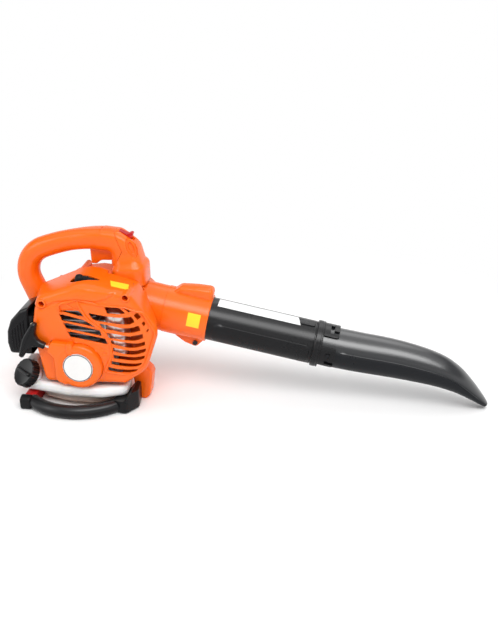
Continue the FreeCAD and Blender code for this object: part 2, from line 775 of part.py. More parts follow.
def tower_form():
    """Tower with its collar, down to the plinth."""
    y = (tube_y - 21, tube_y + 21)
    profile = [(20, 272, 3), (22, 309, 10), (56, 306, 16), (85, 284, 18), (97, 246, 20),
               (97, 200, 3), (42, 200, 3), (42, 272, 7)]
    core = prism(profile, y)
    slim = prism(inset(profile, 4), (y[0] - 3, y[1] + 3))
    collar = round_box((42, 104), (collar_near, tube_y + 34), (190, 243), 20)
    brim = round_box((47, 99), (collar_near + 5, tube_y + 29), (190, 250), 15)
    form = fuse([core, slim, collar, brim])
    return form.cut(roof_block(0, scroll_roof + case_wall + tower_seat))


seam = [(30, 330), (42, 318), (53, 303), (64, 274), (60, 266), (56, 258), (38, 258), (38, 100),
        (-200, 100), (-200, 330)]


def rear_side(grow=0.0):
    """Region behind the seam between grip and tower."""
    points = [V(x + grow, -200, z) for x, z in seam]
    wire = Part.makePolygon(points + points[:1])
    return Part.Face(wire).extrude(V(0, 400, 0))


trigger_pivot = V(46, tube_y, 267)
trigger_pin_radius = 2.5


def handle():
    """The two grip halves and the tower, with the pocket for trigger and switch."""
    clear = disc((-100, 100), scroll_top + case_wall + 0.6, top_centre.x, top_centre.z, 60)
    grip = grip_form().cut(clear)
    whole = fuse([grip, tower_form()])
    half = trigger_width / 2 + 0.6
    pocket = prism([(-3, 236, 2), (-3, 290, 4), (54, 290, 4), (54, 236, 2)],
                   (tube_y - half, tube_y + half))
    pin = rod(trigger_pivot.sub(V(0, 14, 0)), trigger_pivot.add(V(0, 14, 0)), trigger_pin_radius)
    well = screw_wells[1]
    pilot = disc((collar_near - 1, -7), screw_radius, well.x, well.z)
    whole = whole.cut([pocket, pin, switch_pocket(), pilot])
    rear = whole.common(rear_side())
    tower = whole.cut(rear_side())
    size = 900.0
    near = rear.common(box((-size, size), (-size, fan_split), (0, size)))
    far = rear.common(box((-size, size), (fan_split, size), (0, size)))
    tower = tower.cut(dimple())
    return near, far, tower


def dimple():
    """Oval finger dimple in both sides of the tower."""
    cuts = []
    for side in (-1, 1):
        face = V(76, tube_y + side * 24, 284)
        cuts.append(spun([(-2, 13.0), (0, 12.0), (1.6, 9.0), (2.6, 5.0)], face, V(0, -side, 0), 16))
    return group(cuts)


def trigger():
    """Throttle trigger."""
    y = (tube_y - trigger_width / 2, tube_y + trigger_width / 2)
    blade = prism([(1, 275, 2), (2, 243, 2.5), (12, 243, 5), (20, 250, 12), (44, 251, 6),
                   (51, 262, 4), (51, 275, 4)], y)
    hole = bore(trigger_pivot.sub(V(0, 20, 0)), trigger_pivot.add(V(0, 20, 0)),
                trigger_pin_radius + run_gap)
    return blade.cut(hole)


def trigger_pin():
    """Pivot pin of the trigger."""
    return rod(trigger_pivot.sub(V(0, 14, 0)), trigger_pivot.add(V(0, 14, 0)), trigger_pin_radius)


switch_way = V(math.cos(math.radians(24)), 0, -math.sin(math.radians(24)))
switch_place = V(60, tube_y, 306)
switch_travel = 5.0


def switch_pocket():
    """Recess of the stop switch in the tower's top."""
    block = box((-4, 22 + switch_travel), (-6.3, 6.3), (-9, 14))
    block.rotate(V(0, 0, 0), V(0, 1, 0), 24)
    block.translate(switch_place)
    return block


def stop_switch():
    """Sliding stop switch with a thumb horn."""
    base = box((-3.7, 21), (-6, 6), (-8.7, 0))
    horn = prism([(10, -2, 1), (17, 6, 1.5), (21, 6, 1.5), (21, -2, 1)], (-5, 5))
    body = fuse([base, horn])
    body.rotate(V(0, 0, 0), V(0, 1, 0), 24)
    body.translate(switch_place)
    return body


def rear_bush():
    """Rubber mount under the grip's foot."""
    foot, rise = rear_mount_ends()
    clear = disc((-100, 100), scroll_top + case_wall + loose_gap, top_centre.x, top_centre.z, 60)
    return rod(foot.sub(rise * mount_thick), foot, mount_radius - 1).cut(clear)


# Engine
fin_half = 34.0
fin_near = -82.0
fin_far = -37.0
head_top = deck_height + 8 + fin_count * fin_pitch


def crankcase():
    """Crankcase drum with its deck, bearing seats and mounting flange."""
    near, far = case_y
    drum = disc((near, far), case_radius)
    deck = box((-27, 27), (near, far), (crank_height, deck_height))
    plate = round_box((-engine_boss - 8, engine_boss + 8), (crank_height - 37, crank_height + 37),
                      (-4, 0), 9)
    plate.rotate(V(0, 0, 0), V(1, 0, 0), 90)
    plate.translate(V(0, flange_y, 0))
    plate = plate.cut(box((-28, 28), (flange_y - 1, 0), (deck_height - 1, 200)))
    body = fuse([drum, deck, plate])
    cuts = [disc((near + 8, far - 6), 25.0), disc((near - 1, far + 5), bearing_radius)]
    cuts.append(bore(V(0, cylinder_y, crank_height), V(0, cylinder_y, deck_height + 1), bore_radius))
    for x in (-engine_boss, engine_boss):
        for z in (-engine_boss_rise, engine_boss_rise):
            cuts.append(disc((flange_y - 10, flange_y + 10), screw_radius, x, crank_height + z))
    return body.cut(cuts)


bearing_radius = 14.0
bearing_width = 6.0


def bearing(near_side):
    """Plain ring that stands for the ball bearing."""
    start = case_y[0] + 1 if near_side else case_y[1] - bearing_width
    ring = washer((start, start + bearing_width), bearing_radius, shaft_radius + run_gap)
    groove = washer((start - 0.1, start + 1.0), bearing_radius - 2.5, shaft_radius + 3)
    return ring.cut(groove)


def crankshaft():
    """Shaft with two webs and the crank pin, up at rest."""
    near, far = case_y
    front = fan_near + impeller_gap + 40
    shaft = disc((starter_y[1] - 3, near + 14), shaft_radius)
    tail = disc((far - 14, front), shaft_radius)
    webs = []
    for y in ((near + 9, near + 14), (far - 13, far - 8)):
        web = disc(y, 23.0)
        webs.append(web.cut(box((-30, 30), (y[0] - 1, y[1] + 1), (crank_height + 20, 200))))
    pin = disc((near + 9, far - 8), 5.0, 0, crank_height + crank_throw)
    return fuse([shaft, tail, pin] + webs)


def cylinder():
    """Finned cylinder with its closed bore and its two port flanges."""
    base = box((-26, 26), (case_y[0], case_y[1] - 1), (deck_height, deck_height + 6))
    core = rod(V(0, cylinder_y, deck_height), V(0, cylinder_y, head_top), bore_radius + 4, 12)
    pieces = [base, core]
    for index in range(fin_count):
        z = deck_height + 10 + index * fin_pitch
        half = fin_half - 4 * max(0, index - fin_count + 4)
        pieces.append(round_box((-half, half), (fin_near, fin_far), (z, z + fin_thick), 4.9, 1))
    sides = (cylinder_y - 14, cylinder_y + 14)
    pieces.append(box((-42, 0), sides, (inlet_height - 14, inlet_height + 14)))
    pieces.append(box((0, 41), sides, (outlet_height - 14, outlet_height + 14)))
    body = fuse(pieces)
    barrel = bore(V(0, cylinder_y, deck_height - 1), V(0, cylinder_y, head_top - 12), bore_radius)
    inlet = rod(V(-50, cylinder_y, inlet_height), V(0, cylinder_y, inlet_height), 7)
    outlet = rod(V(0, cylinder_y, outlet_height), V(50, cylinder_y, outlet_height), 6.5, 10)
    plug = rod(V(0, cylinder_y, head_top - 14), V(0, cylinder_y, head_top + 1), 5.0)
    return body.cut([barrel, inlet, outlet, plug])


def piston():
    """Piston at the top of its stroke."""
    low = head_top - 16 - piston_length
    body = rod(V(0, cylinder_y, low), V(0, cylinder_y, low + piston_length), bore_radius - run_gap)
    body = body.cut(rod(V(0, cylinder_y, low - 1), V(0, cylinder_y, low + 18), bore_radius - 3))
    eye = rod(V(-20, cylinder_y, low + 10), V(20, cylinder_y, low + 10), 4)
    return body.cut(eye)


def spark_plug():
    """Plug with its hexagon and insulator."""
    axis = V(0, cylinder_y, head_top)
    thread = rod(axis.sub(V(0, 0, 12)), axis, 5.0)
    hexagon = Part.Face(Part.makePolygon(
        [axis.add(V(9 * math.cos(math.radians(a)), 9 * math.sin(math.radians(a)), 0))
         for a in range(0, 361, 60)])).extrude(V(0, 0, 7))
    neck = rod(axis.add(V(0, 0, 7)), axis.add(V(0, 0, 15)), 4.5)
    return fuse([thread, hexagon, neck])


def plug_boot():
    """Rubber cap on the plug, with its side arm."""
    axis = V(0, cylinder_y, head_top)
    cap = rod(axis.add(V(0, 0, 7.0)), axis.add(V(0, 0, 27)), 8.0)
    arm = rod(axis.add(V(0, 0, 20)), axis.add(V(21, 0, 20)), 4.5)
    body = fuse([cap, arm])
    return body.cut(rod(axis, axis.add(V(0, 0, 15)), 4.5))


def muffler():
    """Pressed muffler box with its flange and outlet stub."""
    y = (-88, -45)
    corners = [(46, y[0], 12), (84, y[0], 12), (84, y[1], 12), (46, y[1], 12)]
    rings = [[level(z)(p) for p in corner_points(inset(corners, inwards), 3)]
             for z, inwards in ((outlet_height - 46, 5), (outlet_height - 41, 0),
                                (outlet_height + 33, 0), (outlet_height + 38, 5))]
    body = skin(rings)
    bead = box((63, 66), (y[0] - 1.5, y[1] + 0.5), (outlet_height - 39, outlet_height + 31))
    flange = box((41, 50), (cylinder_y - 14, cylinder_y + 8.6), (outlet_height - 14, outlet_height + 14))
    body = fuse([body, bead, flange])
    port = V(0, cylinder_y, outlet_height)
    return body.cut(rod(port.add(V(40, 0, 0)), port.add(V(58, 0, 0)), 6.5, 10))


def heat_shield():
    """Sheet between the muffler and the fan case."""
    wall = fan_near - case_wall
    y = (wall - 5, wall - 3.8)
    low, high = outlet_height - 20, outlet_height + 32
    sheet = prism([(50, low, 4), (50, high, 4), (66, high, 4), (72, high - 14, 4), (72, low, 4)], y)
    feet = [disc((y[1] - 0.5, wall - 0.02), 4.0, x, z) for x, z in ((58, high - 8), (66, low + 6))]
    return fuse([sheet] + feet)


def insulator():
    """Spacer block between cylinder and carburettor."""
    block = round_box((-50, -42), (cylinder_y - 16, cylinder_y + 16),
                      (inlet_height - 16, inlet_height + 16), 2)
    return block.cut(rod(V(-60, cylinder_y, inlet_height), V(-30, cylinder_y, inlet_height), 7))


def carburettor():
    """Carburettor body with its bore, pump covers and the sockets of lever and primer."""
    mid = inlet_height
    body = box((-78, -50), (cylinder_y - 16, cylinder_y + 16), (mid - 14, mid + 14))
    cover = box((-75, -53), (cylinder_y - 9, cylinder_y + 9), (mid - 18, mid + 18))
    primer_base = rod(V(-64, cylinder_y, mid - 24), V(-64, cylinder_y, mid - 14), 9.5)
    tower = rod(V(-64, cylinder_y - 16, mid), V(-64, cylinder_y - 20, mid), 6)
    body = fuse([body, cover, primer_base, tower])
    throat = rod(V(-90, cylinder_y, mid), V(-40, cylinder_y, mid), 7)
    shaft = bore(V(-64, cylinder_y - 22, mid), V(-64, cylinder_y - 8, mid), 2 + run_gap)
    cavity = bore(V(-64, cylinder_y, mid - 25), V(-64, cylinder_y, mid - 17), 7.5)
    return body.cut([throat, shaft, cavity])


def throttle_lever():
    """Lever and shaft that the throttle cable turns."""
    mid = inlet_height
    shaft = rod(V(-64, cylinder_y - 24, mid), V(-64, cylinder_y - 8.5, mid), 2.0)
    arm = prism([(-69, mid - 5, 3), (-69, mid + 5, 3), (-48, mid + 3, 2.5), (-48, mid - 3, 2.5)],
                (cylinder_y - 23, cylinder_y - 20 - loose_gap))
    return fuse([shaft, arm])


def primer_bulb():
    """Primer bulb under the carburettor."""
    profile = [(-6.5, 3.0), (-4.5, 5.6), (0, 7.0), (4.6, 7.0)]
    return spun(profile, V(-64, cylinder_y, inlet_height - 26), V(0, 0, 1), 12)


def filter_body():
    """Air filter base with the choke plate face."""
    low, high = inlet_height - 34, inlet_height + 26
    block = round_box((-104, -78), (cylinder_y - 27, cylinder_y + 27), (low, high), 8)
    room = round_box((-105, -86), (cylinder_y - 24, cylinder_y + 24), (low + 3, high - 3), 6)
    pocket = rod(V(-82, cylinder_y, inlet_height), V(-70, cylinder_y, inlet_height), 7)
    x, y, z = choke_pivot
    pin_hole = bore(V(x, y, z), V(x, y + 9.5, z), choke_pin + run_gap, 12)
    return block.cut([room, pocket, pin_hole])


filter_y = (cylinder_y - 30, cylinder_y + 30)
filter_front = -90.0     # open edge of the filter cover


def filter_form(grow, front):
    """Outside of the filter cover, from its sloping back to the given front edge."""
    mid = inlet_height
    outside = [(front, mid + 43, 1.5), (-108, mid + 35, 10), (-126, mid + 15, 14),
               (-134, mid - 6, 14), (-136, mid - 29, 10), (-132, mid - 49, 5), (front, mid - 49, 1.5)]
    return prism(inset(outside, -grow), (filter_y[0] - grow, filter_y[1] + grow))


def filter_cover():
    """Black filter cover, a deep shell with a sloping back and ribs."""
    body = filter_form(0, filter_front)
    room = filter_form(-2.5, filter_front + 6)
    ribs = []
    for index in range(5):
        x = -125 + index * 5.6
        ribs.append(box((x, x + 2), (filter_y[0] - 1, filter_y[0] + 1),
                        (inlet_height - 40, inlet_height + index * 6)))
    return fuse([body.cut(room)] + ribs)


def filter_foam():
    """Foam element behind the filter cover."""
    return round_box((-122, -86 - loose_gap), (cylinder_y - 22, cylinder_y + 22),
                     (inlet_height - 28, inlet_height + 12), 6)


choke_pivot = V(-82.5, cylinder_y - 31.6, inlet_height + 12)
choke_pin = 2.0


def choke_lever():
    """Choke lever on the near side of the filter base, with its pin and thumb tab."""
    x, y, z = choke_pivot
    arm = prism([(x - 4, z - 6, 3), (x - 4, z + 4, 3), (x + 3.5, z + 5, 2), (x + 3.5, z - 24, 2),
                 (x - 3, z - 24, 2)], (y - 2.7, y))
    tab = box((x - 2.5, x + 3), (y - 5.5, y - 2), (z - 23, z - 14))
    return fuse([arm, tab, rod(V(x, y - 1, z), V(x, y + 9, z), choke_pin, 12)])


def ignition_coil():
    """Coil with its two pole feet at the flywheel rim."""
    y = (flywheel_y[0], flywheel_y[1])
    edge = flywheel_radius + 0.5
    core = box((50, 68), y, (78, 102))
    legs = [box((edge, 52), (y[0] + 3, y[1] - 3), (z, z + 6)) for z in (79, 95)]
    tie = box((54, 64), (y[1] - 1, fan_near - case_wall), (84, 96))
    legs[0] = legs[0].cut(disc((y[0] - 1, y[1] + 1), edge))
    legs[1] = legs[1].cut(disc((y[0] - 1, y[1] + 1), edge))
    return fuse([core, tie] + legs)


def flywheel():
    """Flywheel with its cooling vanes."""
    rim = disc(flywheel_y, flywheel_radius).cut(disc((-60, 0), shaft_radius))
    vanes = []
    for index in range(12):
        vane = box((16, 30), (flywheel_y[0] - 3.5, flywheel_y[0] + 0.5),
                   (crank_height - 1, crank_height + 1))
        vane.rotate(V(0, 0, crank_height), V(0, 1, 0), index * 30)
        vanes.append(vane)
    return fuse([rim] + vanes)


def starter_cup():
    """Cup on the crank end that the starter pawls catch."""
    y = (starter_y[1] + 0.5, case_y[0] - 1.5)
    cup = disc(y, 17.0).cut(disc((y[0] - 1, y[1] + 1), shaft_radius))
    skirt = washer((starter_y[1] - 4, y[0] + 0.5), 17.0, 14.0)
    return fuse([cup, skirt])


def starter_arm(grow):
    """Arm of the starter case that leads the rope out to the grip."""
    y = (starter_y[0] + 1 - grow, starter_y[1] + grow)
    arm = prism(inset([(-14, 133, 6), (-48, 135, 8), (-56, 117, 5), (-44, 104, 8), (-44, 60, 12),
                       (-26, 52, 8), (0, 60, 2), (0, 110, 2)], -grow), y)
    return arm


rope_exit = V(-52, -103, 125)
rope_way = V(-math.cos(grip_angle), 0, math.sin(grip_angle))


def starter_case():
    """Recoil starter housing with its rope arm and legs down to the crankcase."""
    y0, y1 = starter_y
    drum = fuse([disc((y0 + 3, y1), starter_radius), disc((y0, y0 + 4), starter_radius - 3)])
    legs = []
    for angle in (60, 180, 300):
        leg = box((24, starter_radius - 1), (y1 - 2, case_y[0]), (crank_height - 4, crank_height + 4))
        leg.rotate(V(0, 0, crank_height), V(0, 1, 0), angle)
        legs.append(leg)
    room = disc((y0 + starter_wall + 1, y1 + 0.1), starter_radius - starter_wall)
    post = disc((y0 + 2, y1 - 6), 5.0)
    rope_hole = rod(rope_exit.add(rope_way * 12), rope_exit.sub(rope_way * 46), rope_radius + 0.6)
    seat = disc((y0 - 1, y0 + badge_thick), badge_radius)
    body = fuse([drum, starter_arm(0)]).cut([room, rope_hole, seat])
    return fuse([body, post] + legs)


def starter_reel():
    """Rope reel on the starter's post."""
    y = (starter_y[0] + 10, starter_y[0] + 18)
    body = washer(y, reel_radius, 5.0 + run_gap)
    groove = disc((y[0] + 1.5, y[1] - 1.5), reel_radius + 1).cut(disc((y[0], y[1]), 14.0))
    return body.cut(groove)


def rope_winding():
    """Rope wound on the reel."""
    y = (starter_y[0] + 11.6, starter_y[0] + 16.4)
    return disc(y, reel_radius - 1.5).cut(disc((y[0] - 1, y[1] + 1), 14.0))


def recoil_spring():
    """Flat recoil spring in its pocket, as one ring."""
    return washer((starter_y[0] + starter_wall + 1.05, starter_y[0] + 8.5), reel_radius - 1, 8.0)


def badge():
    """Round badge plate, left bare."""
    plate = disc((starter_y[0] - 1.0, starter_y[0] + badge_thick - 0.05), badge_radius)
    return plate


def starter_grip():
    """Pull grip: a stem on the rope and a tapered cross bar."""
    start = rope_exit.add(rope_way * 6)
    middle = rope_exit.add(rope_way * 37)
    bar_way = V(math.sin(bar_lean), 0, math.cos(bar_lean))
    stem = spun([(0, 6.0), (19, 4.8), (24, 6.5), (31, 6.5)], start, rope_way, 12)
    bar = spun([(-37, 3.0), (-33, 6.2), (0, 8.0), (32, 6.2), (37, 3.0)], middle, bar_way, 14)
    return fuse([stem, bar]).cut(rod(start.sub(rope_way), start.add(rope_way * 20), rope_radius))


def starter_rope():
    """Short free end of the rope between the guide and the grip."""
    start = rope_exit.add(rope_way * 6)
    return rod(start.sub(rope_way * 20), start.add(rope_way * 19.9), rope_radius)


tank_plan = [(-116, -84, 18), (-30, -101, 40), (40, -101, 40), (90, -84, 16), (90, -50, 5),
             (74, -44, 4), (74, fan_near - case_wall - loose_gap, 4),
             (-116, fan_near - case_wall - loose_gap, 8)]
sump_plan = [(-74, -74, 12), (48, -74, 12), (48, -34, 8), (-74, -34, 8)]


cap_axis = V(-0.5, -0.62, 0.6).normalize()
cap_seat = V(-106, -81, 58)


def tank_form(depth, belted=True):
    """Outside of the tank, moved inwards by depth."""
    main = slab(inset(tank_plan, 4 + depth), (26 + depth, tank_top - depth))
    sump = slab(inset(sump_plan, depth), (9 + depth, 30 + depth))
    back = fan_near - case_wall - 12
    corner = round_box((-116 + depth, -89 - depth), (-88 + depth, back - depth),
                       (30, filler_top - depth), 4)
    bevel = rod(cap_seat.sub(cap_axis * (3 + depth)), cap_seat.add(cap_axis * 60), 60.0, 8)
    pieces = [main, sump, corner.cut(bevel)]
    if belted:
        pieces.append(slab(tank_plan, (29, tank_top - 4)))
    return fuse(pieces)


def fuel_tank():
    """Translucent tank with its filler neck."""
    clear = rod(cap_seat.sub(cap_axis * (cap_drop + 1.5)), cap_seat.add(cap_axis * 40), cap_radius + 1.5)
    neck = rod(cap_seat.sub(cap_axis * 20), cap_seat, neck_radius)
    passage = rod(cap_seat.sub(cap_axis * 18), cap_seat.add(cap_axis), neck_radius - 2.2)
    body = fuse([tank_form(0).cut(clear), neck])
    walls = tank_form(tank_wall, False).cut(rod(cap_seat.sub(cap_axis * (cap_drop + 4)),
                                         cap_seat.add(cap_axis * 40), cap_radius + 4))
    outlet = rod(V(-60, fuel_line_y, tank_top - 6), V(-60, fuel_line_y, tank_top + 1), 1.6)
    return body.cut([walls, passage, outlet])


cap_drop = 8.0           # how far the cap's skirt hangs over the neck
gasket_thick = 1.2


def fuel_cap():
    """Filler cap with a notched rim and a finger bar."""
    start = cap_seat.add(cap_axis * loose_gap).sub(cap_axis * cap_drop)
    top = start.add(cap_axis * cap_depth)
    side = V(cap_axis.cross(V(0, 0, 1))).normalize()
    rise = side.cross(cap_axis)
    rim = []
    for index in range(36):
        turn = 2 * math.pi * index / 36
        radius = cap_radius - (1.5 if index % 3 == 0 else 0)
        rim.append(start.add(side * (radius * math.cos(turn))).add(rise * (radius * math.sin(turn))))
    body = Part.Face(Part.makePolygon(rim + rim[:1])).extrude(cap_axis * cap_depth)
    bar = rod(top.sub(side * 17), top.add(side * 17), 4.0, 8)
    body = fuse([body, bar.common(rod(top.sub(cap_axis), top.add(cap_axis * 3), cap_radius))])
    ceiling = cap_seat.add(cap_axis * (gasket_thick + 2 * loose_gap))
    return body.cut(bore(start.sub(cap_axis), ceiling, neck_radius + 0.35))


def cap_gasket():
    """Sealing disc between the neck and the cap."""
    start = cap_seat.add(cap_axis * loose_gap)
    return rod(start, start.add(cap_axis * gasket_thick), neck_radius)


def fuel_line():
    """Fuel hose from the tank up to the carburettor."""
    return rod(V(-60, fuel_line_y, tank_top), V(-60, fuel_line_y, inlet_height - 14.3), 2.6)


def fuel_filter():
    """Pickup filter that lies in the tank's sump."""
    floor = 9 + tank_wall + 4.5
    return rod(V(-20, -60, floor), V(6, -60, floor), 4.5)


def stand_tube():
    """Bent tube that guards the tank and carries the engine side."""
    ends = (V(-94, -97, stand_radius), V(-2, -127, stand_radius), V(68, -84, stand_radius))
    arc = Part.Arc(*ends).toShape()
    rings = []
    steps = 10
    for index in range(steps):
        share = arc.FirstParameter + (arc.LastParameter - arc.FirstParameter) * index / (steps - 1)
        rings.append(ring_points(arc.valueAt(share), V(arc.tangentAt(share)), stand_radius, 12))
    return skin(rings)


def stand_boot():
    """Flat boot that joins the tube's front end to the front foot."""
    plan = [(54, -98, 6), (80, -108, 10), (99, -78, 10), (95, foot_y[0], 4), (80, foot_y[0], 3),
            (62, -72, 8)]
    return slab(plan, (0.4, 25)).cut(stand_tube())


foot_y = (-44.0, fan_near - case_wall)


def front_foot():
    """Front leg of the fan case."""
    body = prism([(58, 48, 1), (72, 72, 4), (101, 70, 4), (113, 58, 4), (116, 50, 5), (110, 8, 5),
                  (102, 0, 2), (84, 0, 3), (80, 47.5, 2)], foot_y)
    return body.cut(cover_form(-0.5))


def rear_lug():
    """Rear lug that holds the stand's other end."""
    block = box((-110, -86), (-99, foot_y[1]), (0.4, 23))
    arm = box((-100, -30), (foot_y[1] - 12, foot_y[1]), (8, 23))
    return fuse([block, arm]).cut(stand_tube())


def fan_nut():
    """Nut on the crank end that holds the impeller."""
    start = fan_near + impeller_gap + 34
    hexagon = Part.Face(Part.makePolygon(
        [V(9 * math.cos(math.radians(a)), start, crank_height + 9 * math.sin(math.radians(a)))
         for a in range(0, 361, 60)])).extrude(V(0, 6, 0))
    return hexagon.cut(disc((start - 1, start + 8), shaft_radius))


def intake_guard():
    """Round grille over the intake: a band with upright bars and one cross bar."""
    y = (fan_far + case_wall + intake_lip, fan_far + case_wall + intake_lip + 3.5)
    outer = intake_radius + 9
    band = disc((y[0] - 8, y[1]), outer).cut(disc((y[0] - 9, y[0]), intake_radius + 7 + loose_gap))
    pieces = [band.cut(disc((y[0] - 9, y[1] + 1), outer - 6))]
    for index in range(-4, 5):
        half = math.sqrt((outer - 3) ** 2 - (index * 11.5) ** 2)
        pieces.append(box((index * 11.5 - 1.5, index * 11.5 + 1.5), y,
                          (crank_height - half, crank_height + half)))
    pieces.append(box((3 - outer, outer - 3), y, (crank_height - 1.5, crank_height + 1.5)))
    return fuse(pieces)


def cover_screws():
    """Two long screws in the cover's wells."""
    return group([screw(V(p.x, well_floor, p.z), V(0, 1, 0), 32) for p in screw_wells])


def case_screws():
    """Screws that close the fan case, from the far side."""
    far = fan_far + case_wall
    return group([screw(V(p.x, far, p.z), V(0, -1, 0), 40, False) for p in case_boss_points()])


def engine_screws():
    """Four bolts that hold the engine on the fan case."""
    bolts = []
    for x in (-engine_boss, engine_boss):
        for z in (-engine_boss_rise, engine_boss_rise):
            bolts.append(screw(V(x, flange_y, crank_height + z), V(0, 1, 0), 22, False))
    return group(bolts)


def clamp_screw():
    """Screw that pinches the sleeve on the pipe."""
    centre = clamp_centre()
    return screw(V(centre.x, tube_y - 16, centre.z), V(0, 1, 0), 30)


def make_nodes():
    """Every piece by its node name."""
    near, far = fan_case()
    grip_near, grip_far, tower = handle()
    return {
        "fan_case_inner": near, "fan_case_outer": far, "impeller": impeller(),
        "fan_nut": fan_nut(), "intake_guard": intake_guard(), "outlet_sleeve": outlet_sleeve(),
        "blow_pipe": blow_pipe(), "nozzle": nozzle(), "engine_cover": engine_cover(),
        "handle_near": grip_near, "handle_far": grip_far, "handle_tower": tower,
        "trigger": trigger(), "trigger_pin": trigger_pin(), "stop_switch": stop_switch(),
        "rear_bush": rear_bush(), "crankcase": crankcase(), "crankshaft": crankshaft(),
        "bearing_near": bearing(True), "bearing_far": bearing(False), "cylinder": cylinder(),
        "piston": piston(), "spark_plug": spark_plug(), "plug_boot": plug_boot(),
        "muffler": muffler(), "heat_shield": heat_shield(), "insulator": insulator(),
        "carburettor": carburettor(), "throttle_lever": throttle_lever(),
        "primer_bulb": primer_bulb(), "filter_body": filter_body(),
        "filter_cover": filter_cover(), "filter_foam": filter_foam(),
        "choke_lever": choke_lever(), "ignition_coil": ignition_coil(), "flywheel": flywheel(),
        "starter_cup": starter_cup(), "starter_case": starter_case(),
        "starter_reel": starter_reel(), "rope_winding": rope_winding(),
        "recoil_spring": recoil_spring(), "badge": badge(), "starter_grip": starter_grip(),
        "starter_rope": starter_rope(), "fuel_tank": fuel_tank(), "fuel_cap": fuel_cap(), "cap_gasket": cap_gasket(),
        "fuel_line": fuel_line(), "fuel_filter": fuel_filter(), "stand_tube": stand_tube(),
        "stand_boot": stand_boot(), "front_foot": front_foot(), "rear_lug": rear_lug(),
        "cover_screws": cover_screws(), "case_screws": case_screws(),
        "engine_screws": engine_screws(), "clamp_screw": clamp_screw(),
    }


def write_nodes():
    """Moves the model onto its origin and writes one file per piece."""
    os.makedirs("parts", exist_ok=True)
    nodes = make_nodes()
    whole = FreeCAD.BoundBox()
    for shape in nodes.values():
        whole.add(shape.optimalBoundingBox(False))
    shift = V(-(whole.XMin + whole.XMax) / 2, -(whole.YMin + whole.YMax) / 2, 0)
    print("box", [round(v, 2) for v in (whole.XMin, whole.XMax, whole.YMin, whole.YMax,
                                        whole.ZMin, whole.ZMax)])
    for name, shape in nodes.items():
        if not shape.isValid() or not shape.Solids:
            print("NOT VALID", name)
        shape.translate(shift)
        shape.exportStep("parts/" + name + ".step")
    print("origin shift", shift.x, shift.y, shift.z)


if __name__ == "__main__":
    write_nodes()
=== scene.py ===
"""Finished look of a handheld petrol leaf blower, laid out as an add-on and run as a script.

Lengths in the shapes below are millimetres on the machine's own axes: X runs forward to the
nozzle with 0 on the crank, Y from the engine side to the fan side, Z up from the ground.
"""
import json
import math

import bpy
from bpy.props import FloatProperty, FloatVectorProperty, PointerProperty
from mathutils import Matrix, Vector


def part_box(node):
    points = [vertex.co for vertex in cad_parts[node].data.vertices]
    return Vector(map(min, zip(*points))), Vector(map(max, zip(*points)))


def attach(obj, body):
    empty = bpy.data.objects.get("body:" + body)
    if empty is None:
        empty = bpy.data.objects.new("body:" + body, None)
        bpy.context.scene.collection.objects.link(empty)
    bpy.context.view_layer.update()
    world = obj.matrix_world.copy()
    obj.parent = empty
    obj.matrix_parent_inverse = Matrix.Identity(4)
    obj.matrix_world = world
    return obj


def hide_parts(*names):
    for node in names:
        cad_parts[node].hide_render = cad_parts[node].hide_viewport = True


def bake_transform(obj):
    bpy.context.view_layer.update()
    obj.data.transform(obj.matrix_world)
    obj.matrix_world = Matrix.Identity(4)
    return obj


bl_info = {
    "name": "Leaf blower",
    "version": (1, 0, 0),
    "blender": (4, 5, 0),
    "location": "View3D > Sidebar > Blower",
    "description": "Builds the visible pieces of a leaf blower round its engineering model",
    "category": "Object",
}

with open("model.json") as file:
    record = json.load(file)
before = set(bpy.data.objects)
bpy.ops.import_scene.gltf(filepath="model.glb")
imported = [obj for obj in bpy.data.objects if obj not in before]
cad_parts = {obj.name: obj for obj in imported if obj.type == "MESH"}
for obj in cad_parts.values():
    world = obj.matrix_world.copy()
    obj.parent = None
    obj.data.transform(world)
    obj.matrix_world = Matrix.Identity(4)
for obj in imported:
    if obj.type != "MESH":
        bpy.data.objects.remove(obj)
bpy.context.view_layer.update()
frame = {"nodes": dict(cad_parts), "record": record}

# The badge sits on the crank line, and its face is 109 mm in front of the crank's middle plane
BADGE_DEPTH = 0.109
BADGE_LOW, BADGE_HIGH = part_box("badge")
MACHINE_ZERO = Vector(((BADGE_LOW[0] + BADGE_HIGH[0]) / 2, BADGE_LOW[1] + BADGE_DEPTH, 0.0))

# Air duct
DUCT_PITCH = math.radians(10.7)
DUCT_RISE = 183.42       # height of the duct axis over the crank line, square to the duct
DUCT_Y = 10.0
DUCT_WAY = Vector((math.cos(DUCT_PITCH), 0, -math.sin(DUCT_PITCH)))
DUCT_UP = Vector((math.sin(DUCT_PITCH), 0, math.cos(DUCT_PITCH)))
NEAR_WAY = Vector((0, -1, 0))
PIPE_RADIUS = 39.0
SLEEVE_START, SLEEVE_END = 102.0, 184.0
PIPE_START, COLLAR_END = 132.0, 390.0
LOCK_STATION = 404.0

# Engine side
CRANK_HEIGHT = 90.0
COVER_FACE = -94.0
COVER_BACK = -17.3
CASE_SPLIT = 12.0        # parting plane of the grip


def at(point):
    """A machine point in millimetres as a place in the frame, in metres."""
    return MACHINE_ZERO + Vector(point) / 1000


# Plain geometry


def smooth_step(value, low, high):
    """0 below low, 1 above high, and an even rise between."""
    share = min(max((value - low) / (high - low), 0.0), 1.0)
    return share * share * (3 - 2 * share)


def ring(centre, right, up, half_right, half_up, count, power=2.0):
    """Points round an oval; a power over 2 squares its corners off."""
    points = []
    for index in range(count):
        turn = 2 * math.pi * index / count
        across, rise = math.cos(turn), math.sin(turn)
        shrink = (abs(across) ** power + abs(rise) ** power) ** (-1 / power)
        points.append(centre + right * (half_right * across * shrink) + up * (half_up * rise * shrink))
    return points


